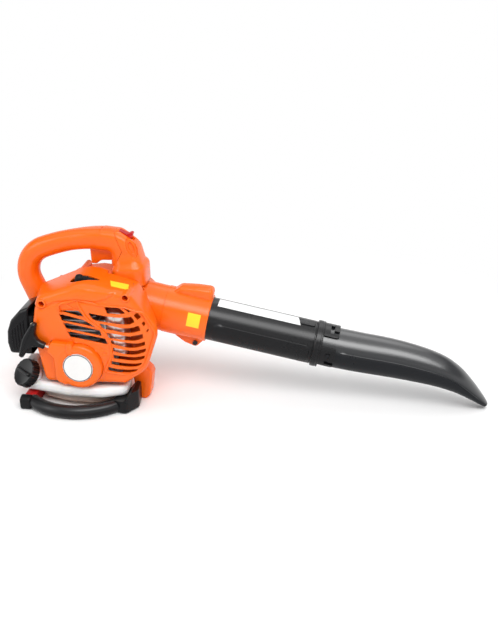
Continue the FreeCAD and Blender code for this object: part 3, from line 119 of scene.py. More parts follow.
def arc_points(corners, steps=6):
    """Points of an outline whose corners (u, v, radius) are rounded."""
    points = []
    for index, (u, v, radius) in enumerate(corners):
        here = Vector((u, v))
        back = (Vector(corners[index - 1][:2]) - here).normalized()
        ahead = (Vector(corners[(index + 1) % len(corners)][:2]) - here).normalized()
        half = back.angle(ahead) / 2
        middle = here + (back + ahead).normalized() * (radius / math.sin(half))
        first = here + back * (radius / math.tan(half)) - middle
        last = here + ahead * (radius / math.tan(half)) - middle
        swing = first.angle(last)
        for step in range(steps + 1):
            share = step / steps
            left = math.sin((1 - share) * swing) / math.sin(swing)
            right = math.sin(share * swing) / math.sin(swing)
            points.append(middle + first * left + last * right)
    return points


def inset(corners, depth):
    """The same outline moved inwards by depth; a negative depth moves it outwards."""
    area = sum(corners[i - 1][0] * c[1] - c[0] * corners[i - 1][1] for i, c in enumerate(corners))
    side = 1.0 if area > 0 else -1.0
    moved = []
    for index, (u, v, radius) in enumerate(corners):
        here = Vector((u, v))
        arrive = (here - Vector(corners[index - 1][:2])).normalized()
        leave = (Vector(corners[(index + 1) % len(corners)][:2]) - here).normalized()
        first = Vector((-arrive.y, arrive.x)) * side
        second = Vector((-leave.y, leave.x)) * side
        shift = (first + second) * (depth / (1 + first.dot(second)))
        convex = side * (arrive.x * leave.y - arrive.y * leave.x) > 0
        moved.append((u + shift.x, v + shift.y, max(radius - depth if convex else radius + depth, 0.3)))
    return moved


def even(points, count):
    """The closed outline as count points, the same distance apart."""
    loop = [Vector(p) for p in points] + [Vector(points[0])]
    lengths = [(b - a).length for a, b in zip(loop, loop[1:])]
    total = sum(lengths)
    result = []
    index, passed = 0, 0.0
    for step in range(count):
        target = total * step / count
        while passed + lengths[index] < target and index < len(lengths) - 1:
            passed += lengths[index]
            index += 1
        share = (target - passed) / max(lengths[index], 1e-9)
        result.append(loop[index].lerp(loop[index + 1], share))
    return result


def curve_through(rows, count):
    """Rows of numbers read off a smooth curve that goes through the given ones."""
    result = []
    last = len(rows) - 1
    for step in range(count):
        place = last * step / (count - 1)
        index = min(int(place), last - 1)
        t = place - index
        four = [rows[max(index - 1, 0)], rows[index], rows[index + 1], rows[min(index + 2, last)]]
        row = []
        for a, b, c, d in zip(*four):
            row.append(0.5 * (2 * b + (c - a) * t + (2 * a - 5 * b + 4 * c - d) * t * t
                              + (3 * b - a - 3 * c + d) * t ** 3))
        result.append(row)
    return result


def skin(rings, closed=False):
    """Points and faces of a surface over rings; closed joins the last ring to the first."""
    count = len(rings[0])
    points = [point for one in rings for point in one]
    faces = []
    last = len(rings) if closed else len(rings) - 1
    for row in range(last):
        low, high = row * count, ((row + 1) % len(rings)) * count
        for index in range(count):
            after = (index + 1) % count
            faces.append((low + index, low + after, high + after, high + index))
    if not closed:
        faces.append(tuple(reversed(range(count))))
        faces.append(tuple(range(len(points) - count, len(points))))
    return points, faces


def pillow(corners, span, place, rounds=(2.0, 2.0), steps=6):
    """Extrusion of a rounded outline whose two ends are rounded as well."""
    layers = []
    for edge, radius, way in ((span[0], rounds[0], 1), (span[1], rounds[1], -1)):
        for step in range(5):
            turn = math.pi / 2 * step / 4
            layers.append((edge + way * radius * (1 - math.sin(turn)), radius * (1 - math.cos(turn))))
    rings = []
    for depth, inwards in sorted(layers):
        rings.append([place(p.x, p.y, depth) for p in arc_points(inset(corners, inwards), steps)])
    return skin(rings)


def prism(outline, span, place):
    """Straight extrusion of an outline between two depths."""
    return skin([[place(u, v, depth) for u, v in outline] for depth in span])


def upright(u, v, depth):
    """Outline drawn in X and Z, extruded along Y."""
    return Vector((u, depth, v))


def level(u, v, depth):
    """Outline drawn in X and Y, extruded along Z."""
    return Vector((u, v, depth))


def sideways(u, v, depth):
    """Outline drawn in Y and Z, extruded along X."""
    return Vector((depth, u, v))


def along_roof(u, v, depth):
    """Outline drawn along the duct and across it, extruded square to the duct."""
    return DUCT_WAY * u + DUCT_UP * depth + Vector((0, v, 0))


def placed(origin, u_way, v_way, depth_way):
    """Outline drawn along two ways from a point, extruded along a third."""
    def place(u, v, depth):
        return origin + u_way * u + v_way * v + depth_way * depth
    return place


def on_duct(station, rise=0.0):
    """Point at a station along the duct axis."""
    point = DUCT_UP * (DUCT_RISE + rise) + DUCT_WAY * station
    return Vector((point.x, DUCT_Y, point.z))


def duct_point(station, angle, radius):
    """Point round the duct; the angle runs from the top down the near side."""
    spoke = DUCT_UP * math.cos(angle) + NEAR_WAY * math.sin(angle)
    return on_duct(station) + spoke * radius


def duct_lathe(profile, count=96, closed=False):
    """Turned form on the duct axis from (station, radius) pairs."""
    rings = []
    for station, radius in profile:
        rings.append([duct_point(station, 2 * math.pi * i / count, radius) for i in range(count)])
    return skin(rings, closed)


def lathe(profile, start, axis, count=48, closed=False):
    """Turned form round an axis from (distance, radius) pairs."""
    way = Vector(axis).normalized()
    right = way.orthogonal().normalized()
    up = way.cross(right)
    rings = [ring(Vector(start) + way * along, right, up, r, r, count) for along, r in profile]
    return skin(rings, closed)


def rod(start, end, radius, count=32):
    """Plain round bar between two points."""
    axis = Vector(end) - Vector(start)
    return lathe([(0, radius), (axis.length, radius)], start, axis, count)


def block(low, high):
    """Box between two corners."""
    corners = [(low[0], low[1]), (high[0], low[1]), (high[0], high[1]), (low[0], high[1])]
    return prism(corners, (low[2], high[2]), level)


# Blender objects


FEWEST_FACES = 4         # a closed mesh has at least these


def raw_object(name, form):
    """Mesh object from points and faces, outward facing."""
    points, faces = form
    mesh = bpy.data.meshes.new(name)
    mesh.from_pydata([at(point) for point in points], [], faces)
    mesh.validate()
    body = bpy.data.objects.new(name, mesh)
    bpy.context.scene.collection.objects.link(body)
    turn_outwards(mesh)
    return body


def turn_outwards(mesh):
    """Flips a closed mesh whose faces look inwards."""
    volume = 0.0
    mesh.calc_loop_triangles()
    for triangle in mesh.loop_triangles:
        a, b, c = (mesh.vertices[i].co for i in triangle.vertices)
        volume += a.dot(b.cross(c))
    if volume < 0:
        mesh.flip_normals()


def combine(body, forms, operation):
    """Joins closed forms or other objects to a body, or takes them from it."""
    tools = bpy.data.collections.new("tools")
    helpers = [form if isinstance(form, bpy.types.Object) else raw_object("tool", form) for form in forms]
    for helper in helpers:
        bpy.context.scene.collection.objects.unlink(helper)
        tools.objects.link(helper)
    step = body.modifiers.new("boolean", "BOOLEAN")
    step.operation = operation
    step.solver = "EXACT"
    step.operand_type = "COLLECTION"
    step.collection = tools
    bpy.context.scene.collection.children.link(tools)
    bpy.context.view_layer.update()
    mesh = bpy.data.meshes.new_from_object(body.evaluated_get(bpy.context.evaluated_depsgraph_get()))
    if len(mesh.polygons) < FEWEST_FACES:
        raise RuntimeError("boolean left nothing of " + body.name)
    body.modifiers.clear()
    spent = [body.data] + [helper.data for helper in helpers]
    body.data = mesh
    for helper in helpers:
        bpy.data.objects.remove(helper)
    for old in spent:
        bpy.data.meshes.remove(old)
    bpy.data.collections.remove(tools)


def join(body, forms):
    """Adds closed forms to a body."""
    combine(body, forms, "UNION")


def carve(body, forms):
    """Cuts closed forms out of a body."""
    combine(body, forms, "DIFFERENCE")


def keep_within(body, form):
    """Keeps what of a body lies in a closed form."""
    combine(body, [form], "INTERSECT")


def copy_of(body):
    """Second object with a mesh of its own."""
    twin = body.copy()
    twin.data = body.data.copy()
    bpy.context.scene.collection.objects.link(twin)
    return twin


def finish(body, name, material, slot, rider, replaced=(), crease=32.0):
    """Names a piece, shades it, hangs it on the empty of the body that carries it, and hides the CAD parts
    that it stands for.
    """
    body.name = name
    body.data.name = name
    body.data.materials.clear()
    body.data.materials.append(finish_named(material))
    body.data.polygons.foreach_set("material_index", [0] * len(body.data.polygons))
    body.data.shade_smooth()
    body.data.set_sharp_from_angle(angle=math.radians(crease))
    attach(body, rider)
    if replaced:
        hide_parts(*replaced)


def piece(form, *facts):
    """Makes a finished piece straight from points and faces."""
    finish(raw_object("piece", form), *facts)


# Shader groups


GRAIN_DEPTH = 0.0004


def feed(tree, value, place):
    """Gives an input a link from another node, or a plain value."""
    if isinstance(value, bpy.types.NodeSocket):
        tree.links.new(value, place)
    else:
        place.default_value = value


def maths(tree, operation, *values, kind="ShaderNodeMath"):
    """Result of a math node over sockets or numbers."""
    node = tree.nodes.new(kind)
    node.operation = operation
    for value, place in zip(values, node.inputs):
        feed(tree, value, place)
    return node.outputs[0]


def mapped(tree, value, source, target=(0.0, 1.0), way="LINEAR"):
    """A value carried over from one range to another."""
    node = tree.nodes.new("ShaderNodeMapRange")
    node.interpolation_type = way
    feed(tree, value, node.inputs["Value"])
    for name, end in zip(("From Min", "From Max", "To Min", "To Max"), (*source, *target)):
        feed(tree, end, node.inputs[name])
    return node.outputs[0]


def coordinates(tree, kind="Object"):
    """Texture coordinates of a kind, by default in the piece's own space."""
    return tree.nodes.new("ShaderNodeTexCoord").outputs[kind]


def height_of(tree, place):
    """Height of a place or a direction."""
    node = tree.nodes.new("ShaderNodeSeparateXYZ")
    tree.links.new(place, node.inputs[0])
    return node.outputs["Z"]


def texture(tree, kind, place, **values):
    """Texture node of a kind over coordinates."""
    node = tree.nodes.new("ShaderNodeTex" + kind)
    tree.links.new(place, node.inputs["Vector"])
    for name, value in values.items():
        feed(tree, value, node.inputs[name])
    return node


def new_group(name, inputs, output_names):
    """Shader node group with named sockets: the group, what it is given and what it gives."""
    group = bpy.data.node_groups.new(name, "ShaderNodeTree")
    sockets = [(label, "INPUT", value) for label, value in inputs.items()]
    sockets += [(label, "OUTPUT", None) for label in output_names]
    for label, way, value in sockets:
        kind = "NodeSocketColor" if label == "Color" else "NodeSocketFloat"
        new = group.interface.new_socket(name=label, in_out=way, socket_type=kind)
        if value is not None:
            new.default_value = value
    return group, group.nodes.new("NodeGroupInput").outputs, group.nodes.new("NodeGroupOutput").inputs


def tone_group():
    """Group that varies a colour and a roughness a little over the surface."""
    group, given, result = new_group("Tone", {"Color": None, "Roughness": 0.4, "Amount": 0.1},
                                     ("Color", "Roughness"))
    place = coordinates(group)
    broad = texture(group, "Noise", place, Scale=14.0, Detail=3.0).outputs["Fac"]
    fine = texture(group, "Noise", place, Scale=160.0, Detail=4.0).outputs["Fac"]
    both = maths(group, "MULTIPLY_ADD", fine, 0.35, broad)
    swing = mapped(group, both, (0.4, 0.95), (-1.0, 1.0))
    shade = maths(group, "ADD", maths(group, "MULTIPLY", swing, given["Amount"]), 1.0)
    colour = group.nodes.new("ShaderNodeVectorMath")
    colour.operation = "SCALE"
    group.links.new(given["Color"], colour.inputs[0])
    group.links.new(shade, colour.inputs["Scale"])
    group.links.new(colour.outputs[0], result["Color"])
    group.links.new(maths(group, "MULTIPLY", given["Roughness"], shade), result["Roughness"])


def grain_group():
    """Group with the height of a fine moulded or cast grain."""
    group, given, result = new_group("Grain", {"Scale": 900.0, "Coarse": 0.0}, ("Height",))
    place = coordinates(group)
    fine = texture(group, "Noise", place, Scale=given["Scale"], Detail=2.0).outputs["Fac"]
    pits = texture(group, "Voronoi", place, Scale=420.0).outputs["Distance"]
    mix = group.nodes.new("ShaderNodeMix")
    for value, name in ((given["Coarse"], "Factor"), (fine, "A"), (pits, "B")):
        group.links.new(value, mix.inputs[name])
    group.links.new(mix.outputs["Result"], result["Height"])


def height_band_group():
    """Group with a mask that is 1 below a height and fades out above it."""
    group, given, result = new_group("Height band", {"Full": 0.01, "Gone": 0.03}, ("Mask",))
    fade = mapped(group, height_of(group, coordinates(group)), (given["Full"], given["Gone"]), (1.0, 0.0))
    group.links.new(fade, result["Mask"])


def painted_sheen_group():
    """Group with a mask of painted sheen: a glossier coat that grows from the sides of a shape to its top,
    standing in for the highlight that light from above puts there.
    """
    group, given, result = new_group("Painted sheen", {"Amount": 1.0}, ("Mask",))
    rise = mapped(group, height_of(group, coordinates(group, "Normal")), (0.05, 0.55), way="SMOOTHSTEP")
    group.links.new(maths(group, "MULTIPLY", rise, given["Amount"]), result["Mask"])


def strands_group():
    """Group with the twisted strand pattern of a rope."""
    group, given, result = new_group("Strands", {"Scale": 300.0}, ("Mask",))
    wave = texture(group, "Wave", coordinates(group), Scale=given["Scale"])
    wave.bands_direction = "DIAGONAL"
    group.links.new(wave.outputs["Fac"], result["Mask"])


def add_group(material, name, **values):
    """Puts a shader group with its values into a material and gives its outputs."""
    node = material.node_tree.nodes.new("ShaderNodeGroup")
    node.node_tree = bpy.data.node_groups[name]
    for label, value in values.items():
        node.inputs[label].default_value = value
    return node.outputs


def surface(name, colour, roughness, amount=0.08, grain=(900.0, 0.0, 0.05), metallic=0.0,
            coat=0.0, edge=0.0006, gloss=0.5, painted_sheen=0.0):
    """Material with a varied tone, a fine grain and softened edges, and where asked a painted sheen: a coat
    on its upper side that stands in for the highlight from above.
    """
    material = bpy.data.materials.new("finish_" + name)
    material.use_nodes = True
    nodes, links = material.node_tree.nodes, material.node_tree.links
    shader = nodes["Principled BSDF"].inputs
    tone = add_group(material, "Tone", Color=(*colour, 1.0), Roughness=roughness, Amount=amount)
    links.new(tone["Color"], shader["Base Color"])
    links.new(tone["Roughness"], shader["Roughness"])
    shader["Specular IOR Level"].default_value = gloss
    shader["Metallic"].default_value = metallic
    shader["Coat Weight"].default_value = coat
    shader["Coat Roughness"].default_value = 0.12
    # Painted sheen: the coat is laid on the upper side only, as a stand-in for the highlight band of the
    # light from above.
    if painted_sheen > 0:
        links.new(add_group(material, "Painted sheen", Amount=painted_sheen)["Mask"], shader["Coat Weight"])
        shader["Coat IOR"].default_value = 1.8
        shader["Coat Roughness"].default_value = 0.3
    bump = nodes.new("ShaderNodeBump")
    bump.inputs["Strength"].default_value = grain[2]
    bump.inputs["Distance"].default_value = GRAIN_DEPTH
    rough = add_group(material, "Grain", Scale=grain[0], Coarse=grain[1])
    links.new(rough["Height"], bump.inputs["Height"])
    if edge > 0:
        soft = nodes.new("ShaderNodeBevel")
        soft.samples = 4
        soft.inputs["Radius"].default_value = edge
        links.new(soft.outputs["Normal"], bump.inputs["Normal"])
    links.new(bump.outputs["Normal"], shader["Normal"])
    return material


def finish_named(name):
    """One of the finishes made here; the frame has plain materials of the same slots."""
    return bpy.data.materials["finish_" + name]


def tank_surface(colour, stain):
    """Cloudy white plastic, browner where the fuel has stood."""
    material = surface("tank_white", colour, 0.32, 0.04, (700.0, 0.0, 0.05), coat=0.1, edge=0.001)
    nodes, links = material.node_tree.nodes, material.node_tree.links
    shader = nodes["Principled BSDF"].inputs
    mix = nodes.new("ShaderNodeMix")
    mix.data_type = "RGBA"
    mix.inputs["B"].default_value = (*stain, 1.0)
    links.new(add_group(material, "Height band", Full=0.012, Gone=0.034)["Mask"], mix.inputs["Factor"])
    links.new(shader["Base Color"].links[0].from_socket, mix.inputs["A"])
    links.new(mix.outputs["Result"], shader["Base Color"])
    shader["Subsurface Weight"].default_value = 0.35
    shader["Subsurface Radius"].default_value = (0.012, 0.010, 0.008)
    shader["Subsurface Scale"].default_value = 0.5


def rope_surface(colour):
    """Braided rope."""
    material = surface("rope", colour, 0.8, 0.1, (600.0, 0.0, 0.1), edge=0.0)
    bump = next(node for node in material.node_tree.nodes if node.type == "BUMP")
    material.node_tree.links.new(add_group(material, "Strands")["Mask"], bump.inputs["Height"])
    bump.inputs["Strength"].default_value = 0.6


# Pieces


# Nozzle outline: station, rise over the duct axis, half height, half width
NOZZLE_ROWS = ((354, 0, 36.4, 36.4), (386, 0, 36.4, 36.4), (418, 0, 36.4, 36.4), (458, 1.4, 36.2, 35.8),
               (500, 3.9, 35.6, 35.0), (530, 5.0, 34.6, 34.1), (560, 4.8, 33.0, 33.0),
               (585, 3.6, 31.0, 31.9), (610, 0.6, 28.0, 30.4), (636, -6.6, 22.8, 27.6),
               (660, -17.4, 16.6, 23.6), (680, -28.6, 11.6, 18.6), (694, -37.2, 8.2, 13.6),
               (702, -42.4, 5.6, 9.0), (704.5, -44.2, 3.2, 4.6))
NOZZLE_BEND = 418.0      # station from which the nozzle leaves the duct's line
NOZZLE_WALL = 2.2
NOZZLE_TIP = (702, -42.4)
MOUTH_LINE = ((630, -25.5), (674, -34.0), (702, -45.0), (726, -52.0))
PEG_TURNS = (0.0, math.pi / 2)
PEG_ROOM = 3.4           # half width of the slots that the pegs run in
PLATE_SPAN = (30, 50)    # distances from the duct axis that the cutters of pegs and tongues reach over
LEDGE_TOP = math.radians(77)
LEDGE_LOW = math.radians(136)
PANEL_START, PANEL_END, PANEL_CORNER = 196.0, 370.0, 9.0
COLLAR_PROFILE = ((374.6, 39.0), (375.2, 38.4), (376.6, 38.4), (377, 41.2), (378.2, 42), (385.6, 42),
                  (386.4, 41.3), (388.4, 41.3), (389, 41.8), (389.7, 41.8), (COLLAR_END, 41.2),
                  (COLLAR_END, 37.0), (PIPE_START, 37.0))
TONGUE_PROFILE = ((387, 37.0), (387, 40.2), (416.2, 40.2), (417, 39.6), (417, 37.0))


def from_top(angle):
    """Angle down from the duct's top, the same on either side."""
    return min(angle, 2 * math.pi - angle)


def ledge_angles(count=72):
    """Angles round the duct, with close pairs where a ledge starts and ends."""
    angles = [2 * math.pi * i / count for i in range(count)]
    for edge in (LEDGE_TOP, LEDGE_LOW):
        for side in (edge, 2 * math.pi - edge):
            angles = [a for a in angles if abs(a - side) > 0.04]
            angles += [side - 0.012, side + 0.012]
    return sorted(angles)


def nozzle_rings(ledge):
    """Outside and inside rings of the curved beak, with its ledges."""
    rows = curve_through(NOZZLE_ROWS, 90)
    outside, inside = [], []
    for index, (station, rise, high, wide) in enumerate(rows):
        before, after = rows[max(index - 1, 0)], rows[min(index + 1, len(rows) - 1)]
        slope = (after[1] - before[1]) / (after[0] - before[0]) if station > NOZZLE_BEND else 0.0
        up = (DUCT_UP - DUCT_WAY * slope).normalized()
        centre = on_duct(station, rise)
        fade = min(max((station - 428) / 4, 0), 1) * min(max((690 - station) / 60, 0), 1)
        thin = min(NOZZLE_WALL, high * 0.5)
        outer, inner = [], []
        for angle in ledge_angles():
            grow = ledge * fade if LEDGE_TOP < from_top(angle) < LEDGE_LOW else 0.0
            upward, sideward = up * math.cos(angle), NEAR_WAY * math.sin(angle)
            outer.append(centre + upward * (high + grow) + sideward * (wide + grow))
            inner.append(centre + upward * (high - thin) + sideward * (wide - thin))
        outside.append(outer)
        inside.append(inner)
    return outside, inside


def build_nozzle(ledge):
    """Nozzle with its locking pegs, its hollow and the opening along its underside."""
    outside, inside = nozzle_rings(ledge)
    tip = on_duct(*NOZZLE_TIP)
    body = raw_object("nozzle_shell", skin(outside + [[tip] * len(outside[0])]))
    join(body, [rod(duct_point(LOCK_STATION, turn, 34), duct_point(LOCK_STATION, turn, 41.5), 3.0, 24)
                for turn in PEG_TURNS])
    socket = [on_duct(340) + (p - on_duct(354)) for p in inside[0]]
    carve(body, [skin([socket] + inside[:-4])])
    edge = [on_duct(*place) for place in MOUTH_LINE]
    outline = [(p.x, p.z, 2.0) for p in edge] + [(edge[-1].x, -60, 1.0), (edge[0].x, -60, 1.0)]
    carve(body, [pillow(outline, (DUCT_Y - 60, DUCT_Y + 60), upright, (0.2, 0.2))])
    finish(body, "nozzle_shell", "nozzle_black", "nozzle_black", "nozzle", ("nozzle",))


def pipe_radius(station, angle, ledge):
    """Outside radius of the pipe with its two raised side panels."""
    along = max(PANEL_START + PANEL_CORNER - station, station - PANEL_END + PANEL_CORNER, 0.0)
    aside = abs(from_top(angle) - (LEDGE_TOP + LEDGE_LOW) / 2) - (LEDGE_LOW - LEDGE_TOP) / 2
    across = max(aside * PIPE_RADIUS + PANEL_CORNER, 0.0)
    outside = math.hypot(along, across) - PANEL_CORNER
    return PIPE_RADIUS + ledge * min(max(0.5 - outside / 0.8, 0.0), 1.0)


def build_pipe(ledge):
    """Pipe with its collar, its side panels and the two tongues that lock the nozzle."""
    stations = [PIPE_START, 150, 170, 186] + [188 + step * 2 for step in range(6)]
    stations += [200 + step * 8 for step in range(20)] + [358 + step * 0.8 for step in range(20)]
    angles = ledge_angles(96)
    rings = [[duct_point(s, a, pipe_radius(s, a, ledge)) for a in angles] for s in stations]
    rings += [[duct_point(s, a, radius) for a in angles] for s, radius in COLLAR_PROFILE]
    body = raw_object("pipe_shell", skin(rings, closed=True))
    for turn in reversed(PEG_TURNS):
        tongue = raw_object("tongue", duct_lathe(TONGUE_PROFILE, 144, closed=True))
        keep_within(tongue, duct_plate(turn, (386.5, 417.4), (-14, 26), 5.0))
        carve(tongue, peg_ways(turn))
        join(body, [tongue])
    join(body, [pillow([(344, -5, 3), (372, -5, 3), (372, 5, 3), (344, 5, 3)], (36, 41.4),
                       duct_place(math.radians(14)), (0.5, 1.4))])
    finish(body, "pipe_shell", "black_case", "black_case", "body", ("blow_pipe",))


def duct_place(turn):
    """Places (station, distance round, radius) about the duct at an angle."""
    spoke = duct_point(0, turn, 1) - on_duct(0)
    return placed(on_duct(0), DUCT_WAY, DUCT_WAY.cross(spoke), spoke)


def duct_plate(turn, stations, across, radius):
    """Block with rounded corners that stands out from the duct at an angle."""
    corners = [(stations[0], across[0], radius), (stations[1], across[0], radius),
               (stations[1], across[1], radius), (stations[0], across[1], radius)]
    return pillow(corners, PLATE_SPAN, duct_place(turn), (0.1, 0.1))


def peg_ways(turn):
    """Cutters of the slot that a peg turns in and leaves by."""
    stops = [(step * 5, LOCK_STATION + PEG_ROOM) for step in range(6)] + [(25, 440)]
    return [duct_plate(turn + math.radians(degrees), (LOCK_STATION - PEG_ROOM, end),
                       (-PEG_ROOM, PEG_ROOM), 0.6) for degrees, end in stops]


COVER_LABEL = ((52.6, -53.4, 260), (84.9, -52.0, 260), (90.1, -74.6, 260), (59.4, -72.8, 260))
STICKER_LIFT = 0.12      # how far the stickers on the pipe and the sleeve stand off


def duct_sheet(stations, degrees, radius, slant=0.0):
    """Sheet laid round the duct; a slant skews its far end."""
    angles = [math.radians(end) for end in degrees]
    rows = []
    for step in range(41):
        share = step / 40
        row = []
        for part in range(13):
            turn = angles[0] + (angles[1] - angles[0]) * part / 12
            push = slant * part / 12 * share
            station = stations[0] + (stations[1] - stations[0]) * share + push
            row.append(duct_point(station, turn, radius))
        rows.append(row)
    return sheet_form(rows)


def laid_on(body, corners, lift=0.15):
    """Sheet between four corners, dropped onto a body."""
    rows = []
    for step in range(13):
        left = Vector(corners[0]).lerp(Vector(corners[3]), step / 12)
        right = Vector(corners[1]).lerp(Vector(corners[2]), step / 12)
        row = []
        for part in range(25):
            hit, place, normal, _ = body.ray_cast(at(left.lerp(right, part / 24)), Vector((0, 0, -1)))
            if not hit:
                raise RuntimeError("sticker misses " + body.name)
            row.append((place + normal * lift / 1000 - MACHINE_ZERO) * 1000)
        rows.append(row)
    return sheet_form(rows)


def build_labels():
    """Blank stickers on the pipe, the sleeve and the cover, and the rim round the badge."""
    strip = duct_sheet((195, 339), (-10, 26), PIPE_RADIUS + STICKER_LIFT, 7.0)
    square = duct_sheet((148, 171), (62, 96), SLEEVE_RADIUS + STICKER_LIFT)
    patch = laid_on(bpy.data.objects["cover_skin"], COVER_LABEL)
    piece(strip, "pipe_label", "label_white", "badge_white", "body")
    piece(square, "sleeve_label", "label_yellow", "badge_white", "body")
    piece(patch, "cover_label", "label_yellow", "badge_white", "body")
    rim = [(0, 24.9), (0, 26.1), (0.5, 26.1), (0.5, 24.9)]
    piece(lathe(rim, (0, -109.2, CRANK_HEIGHT), (0, 1, 0), 96, closed=True), "badge_rim", "black_case",
          "black_case", "body")


def sheet_form(rows):
    """Thin open sheet over rows of points."""
    width = len(rows[0])
    points = [point for row in rows for point in row]
    faces = []
    for r in range(len(rows) - 1):
        for c in range(width - 1):
            low = r * width + c
            faces.append((low, low + 1, low + width + 1, low + width))
    return points, faces


SLEEVE_RADIUS, SLEEVE_BORE = 42.8, 39.3
# Lock housing over the sleeve and clamp lug under it: station, rise over the duct axis, corner radius
LOCK_PAD = ((SLEEVE_START + 6, SLEEVE_RADIUS - 6, 2), (SLEEVE_START + 20, SLEEVE_RADIUS + 8.5, 12),
            (SLEEVE_START + 50, SLEEVE_RADIUS + 14, 30), (SLEEVE_END - 1, SLEEVE_RADIUS + 17, 9),
            (SLEEVE_END - 1, SLEEVE_RADIUS - 8, 1))
CLAMP_LUG = ((SLEEVE_END - 66, 6 - SLEEVE_RADIUS, 3), (SLEEVE_END - 36, -9 - SLEEVE_RADIUS, 20),
             (SLEEVE_END - 14, -13 - SLEEVE_RADIUS, 9), (SLEEVE_END - 1, 6 - SLEEVE_RADIUS, 2))


def duct_slab(rows, span, rounding):
    """Rounded form drawn along the duct and extruded across it."""
    corners = [(*on_duct(station, rise).xz, radius) for station, rise, radius in rows]
    return pillow(corners, (DUCT_Y + span[0], DUCT_Y + span[1]), upright, (rounding, rounding), 8)


def build_sleeve():
    """Collar that takes the pipe, with its lock housing and its clamp lug."""
    wall = [(SLEEVE_START, SLEEVE_BORE), (SLEEVE_START, SLEEVE_RADIUS - 0.4),
            (SLEEVE_START + 0.6, SLEEVE_RADIUS), (SLEEVE_END - 1.2, SLEEVE_RADIUS),
            (SLEEVE_END, SLEEVE_RADIUS - 1.0), (SLEEVE_END, SLEEVE_BORE)]
    body = raw_object("sleeve_shell", duct_lathe(wall, closed=True))
    join(body, [duct_slab(LOCK_PAD, (-14, 16), 6.0), duct_slab(CLAMP_LUG, (-16, 16), 3.0)])
    carve(body, [duct_lathe([(SLEEVE_START - 2, SLEEVE_BORE), (SLEEVE_END + 2, SLEEVE_BORE)])])
    screw = on_duct(SLEEVE_END - 17, -47.1)
    carve(body, [rod(screw + NEAR_WAY * 60, screw - NEAR_WAY * 60, 2.6)])
    finish(body, "sleeve_shell", "orange_shell", "orange_shell", "body", ("outlet_sleeve",))


GRIP_FOOT = Vector((-98.0, DUCT_Y, 160.0))
GRIP_RISE = math.radians(112.0)


# The grip's middle line from its foot: length, and the radius of its bend
GRIP_LINE = ((46.0, None), (50.0 * math.radians(90), 50.0), (330.0 * math.radians(20), 330.0))
GRIP_HALVES = (21.5, 17.6)           # half depth at its foot and at its head


def grip_place(share):
    """Centre, heading and half depth of the grip at a share of its length."""
    distance = share * sum(length for length, _ in GRIP_LINE)
    point, heading = GRIP_FOOT.copy(), GRIP_RISE
    for length, radius in GRIP_LINE:
        run = max(0.0, min(distance, length))
        distance -= run
        if radius is None:
            point += Vector((math.cos(heading), 0, math.sin(heading))) * run
        else:
            right = Vector((math.sin(heading), 0, -math.cos(heading)))
            centre = point + right * radius
            heading -= run / radius
            point = centre - Vector((math.sin(heading), 0, -math.cos(heading))) * radius
    return point, heading, GRIP_HALVES[0] + (GRIP_HALVES[1] - GRIP_HALVES[0]) * share


def grip_form():
    """The palm grip as one smooth bent bar."""
    rings = []
    for step in range(56):
        point, heading, half = grip_place(step / 55)
        inner = Vector((math.sin(heading), 0, -math.cos(heading)))
        swell = smooth_step(step / 55, 0.72, 1.0)
        rings.append(ring(point, NEAR_WAY, inner, 18.5 + 3.9 * swell, half + 0.6 * swell, 56, 2.25 + swell))
    return skin(rings)


TOWER_PROFILE = [(2, 279, 3), (2, 300, 6), (26, 309.5, 12), (57, 307, 18), (89, 286, 28), (99, 248, 30),
                 (99, 190, 3), (42, 190, 3), (42, 272, 7), (20, 273, 6)]
ROOF = 222.72            # height of the scroll's roof over the crank line, square to it
SWITCH_PITCH = math.radians(24)
SWITCH_SEAT = Vector((60, DUCT_Y, 306))
SEAM_GAP = 0.35          # half the seam between grip and tower
SEAM = [(30, 340), (42, 318), (53, 303), (64, 274), (60, 266), (56, 258), (38, 258), (38, 100),
        (-200, 100), (-200, 340)]


def under_plane(rise):
    """Everything under a plane that is parallel to the scroll's roof."""
    return prism(((-400, -300), (600, -300), (600, 300), (-400, 300)), (-400, rise), along_roof)


def collar_form():
    """Collar that flares from the tower down to the plinth."""
    rings = []
    for z, inwards in ((190, 0), (232, 0), (240, 0.3), (244, 1.4), (247, 3.4), (251, 7), (257, 10.5),
                       (265, 13.0), (276, 14.6)):
        corners = [(42, -26, 21), (104, -26, 21), (104, 44, 21), (42, 44, 21)]
        points = arc_points(inset(corners, inwards), 8)
        lean = max(z - 243, 0) * 0.14
        rings.append([Vector((p.x - lean, p.y, z + (p.x - 73) * 0.10)) for p in points])
    return skin(rings)


def carve_dimples(body):
    """Cuts the two-step hollow into both sides of the tower."""
    for side in (-1, 1):
        outward = Vector((0.38, side * 0.9, 0.25)).normalized()
        lean = Vector((0.36, 0, -0.93))
        lean = (lean - outward * lean.dot(outward)).normalized()
        turn = outward.cross(lean)
        face = Vector((81, DUCT_Y + side * 18, 281))
        for wide, high, depth in ((9.0, 18, 4.0), (4.8, 10.5, 7.0)):
            rings = [ring(face + outward * out, turn, lean, wide - less, high - less, 40)
                     for out, less in ((14, 0), (1.5 - depth, 0.0), (-depth, 1.4))]
            carve(body, [skin(rings)])


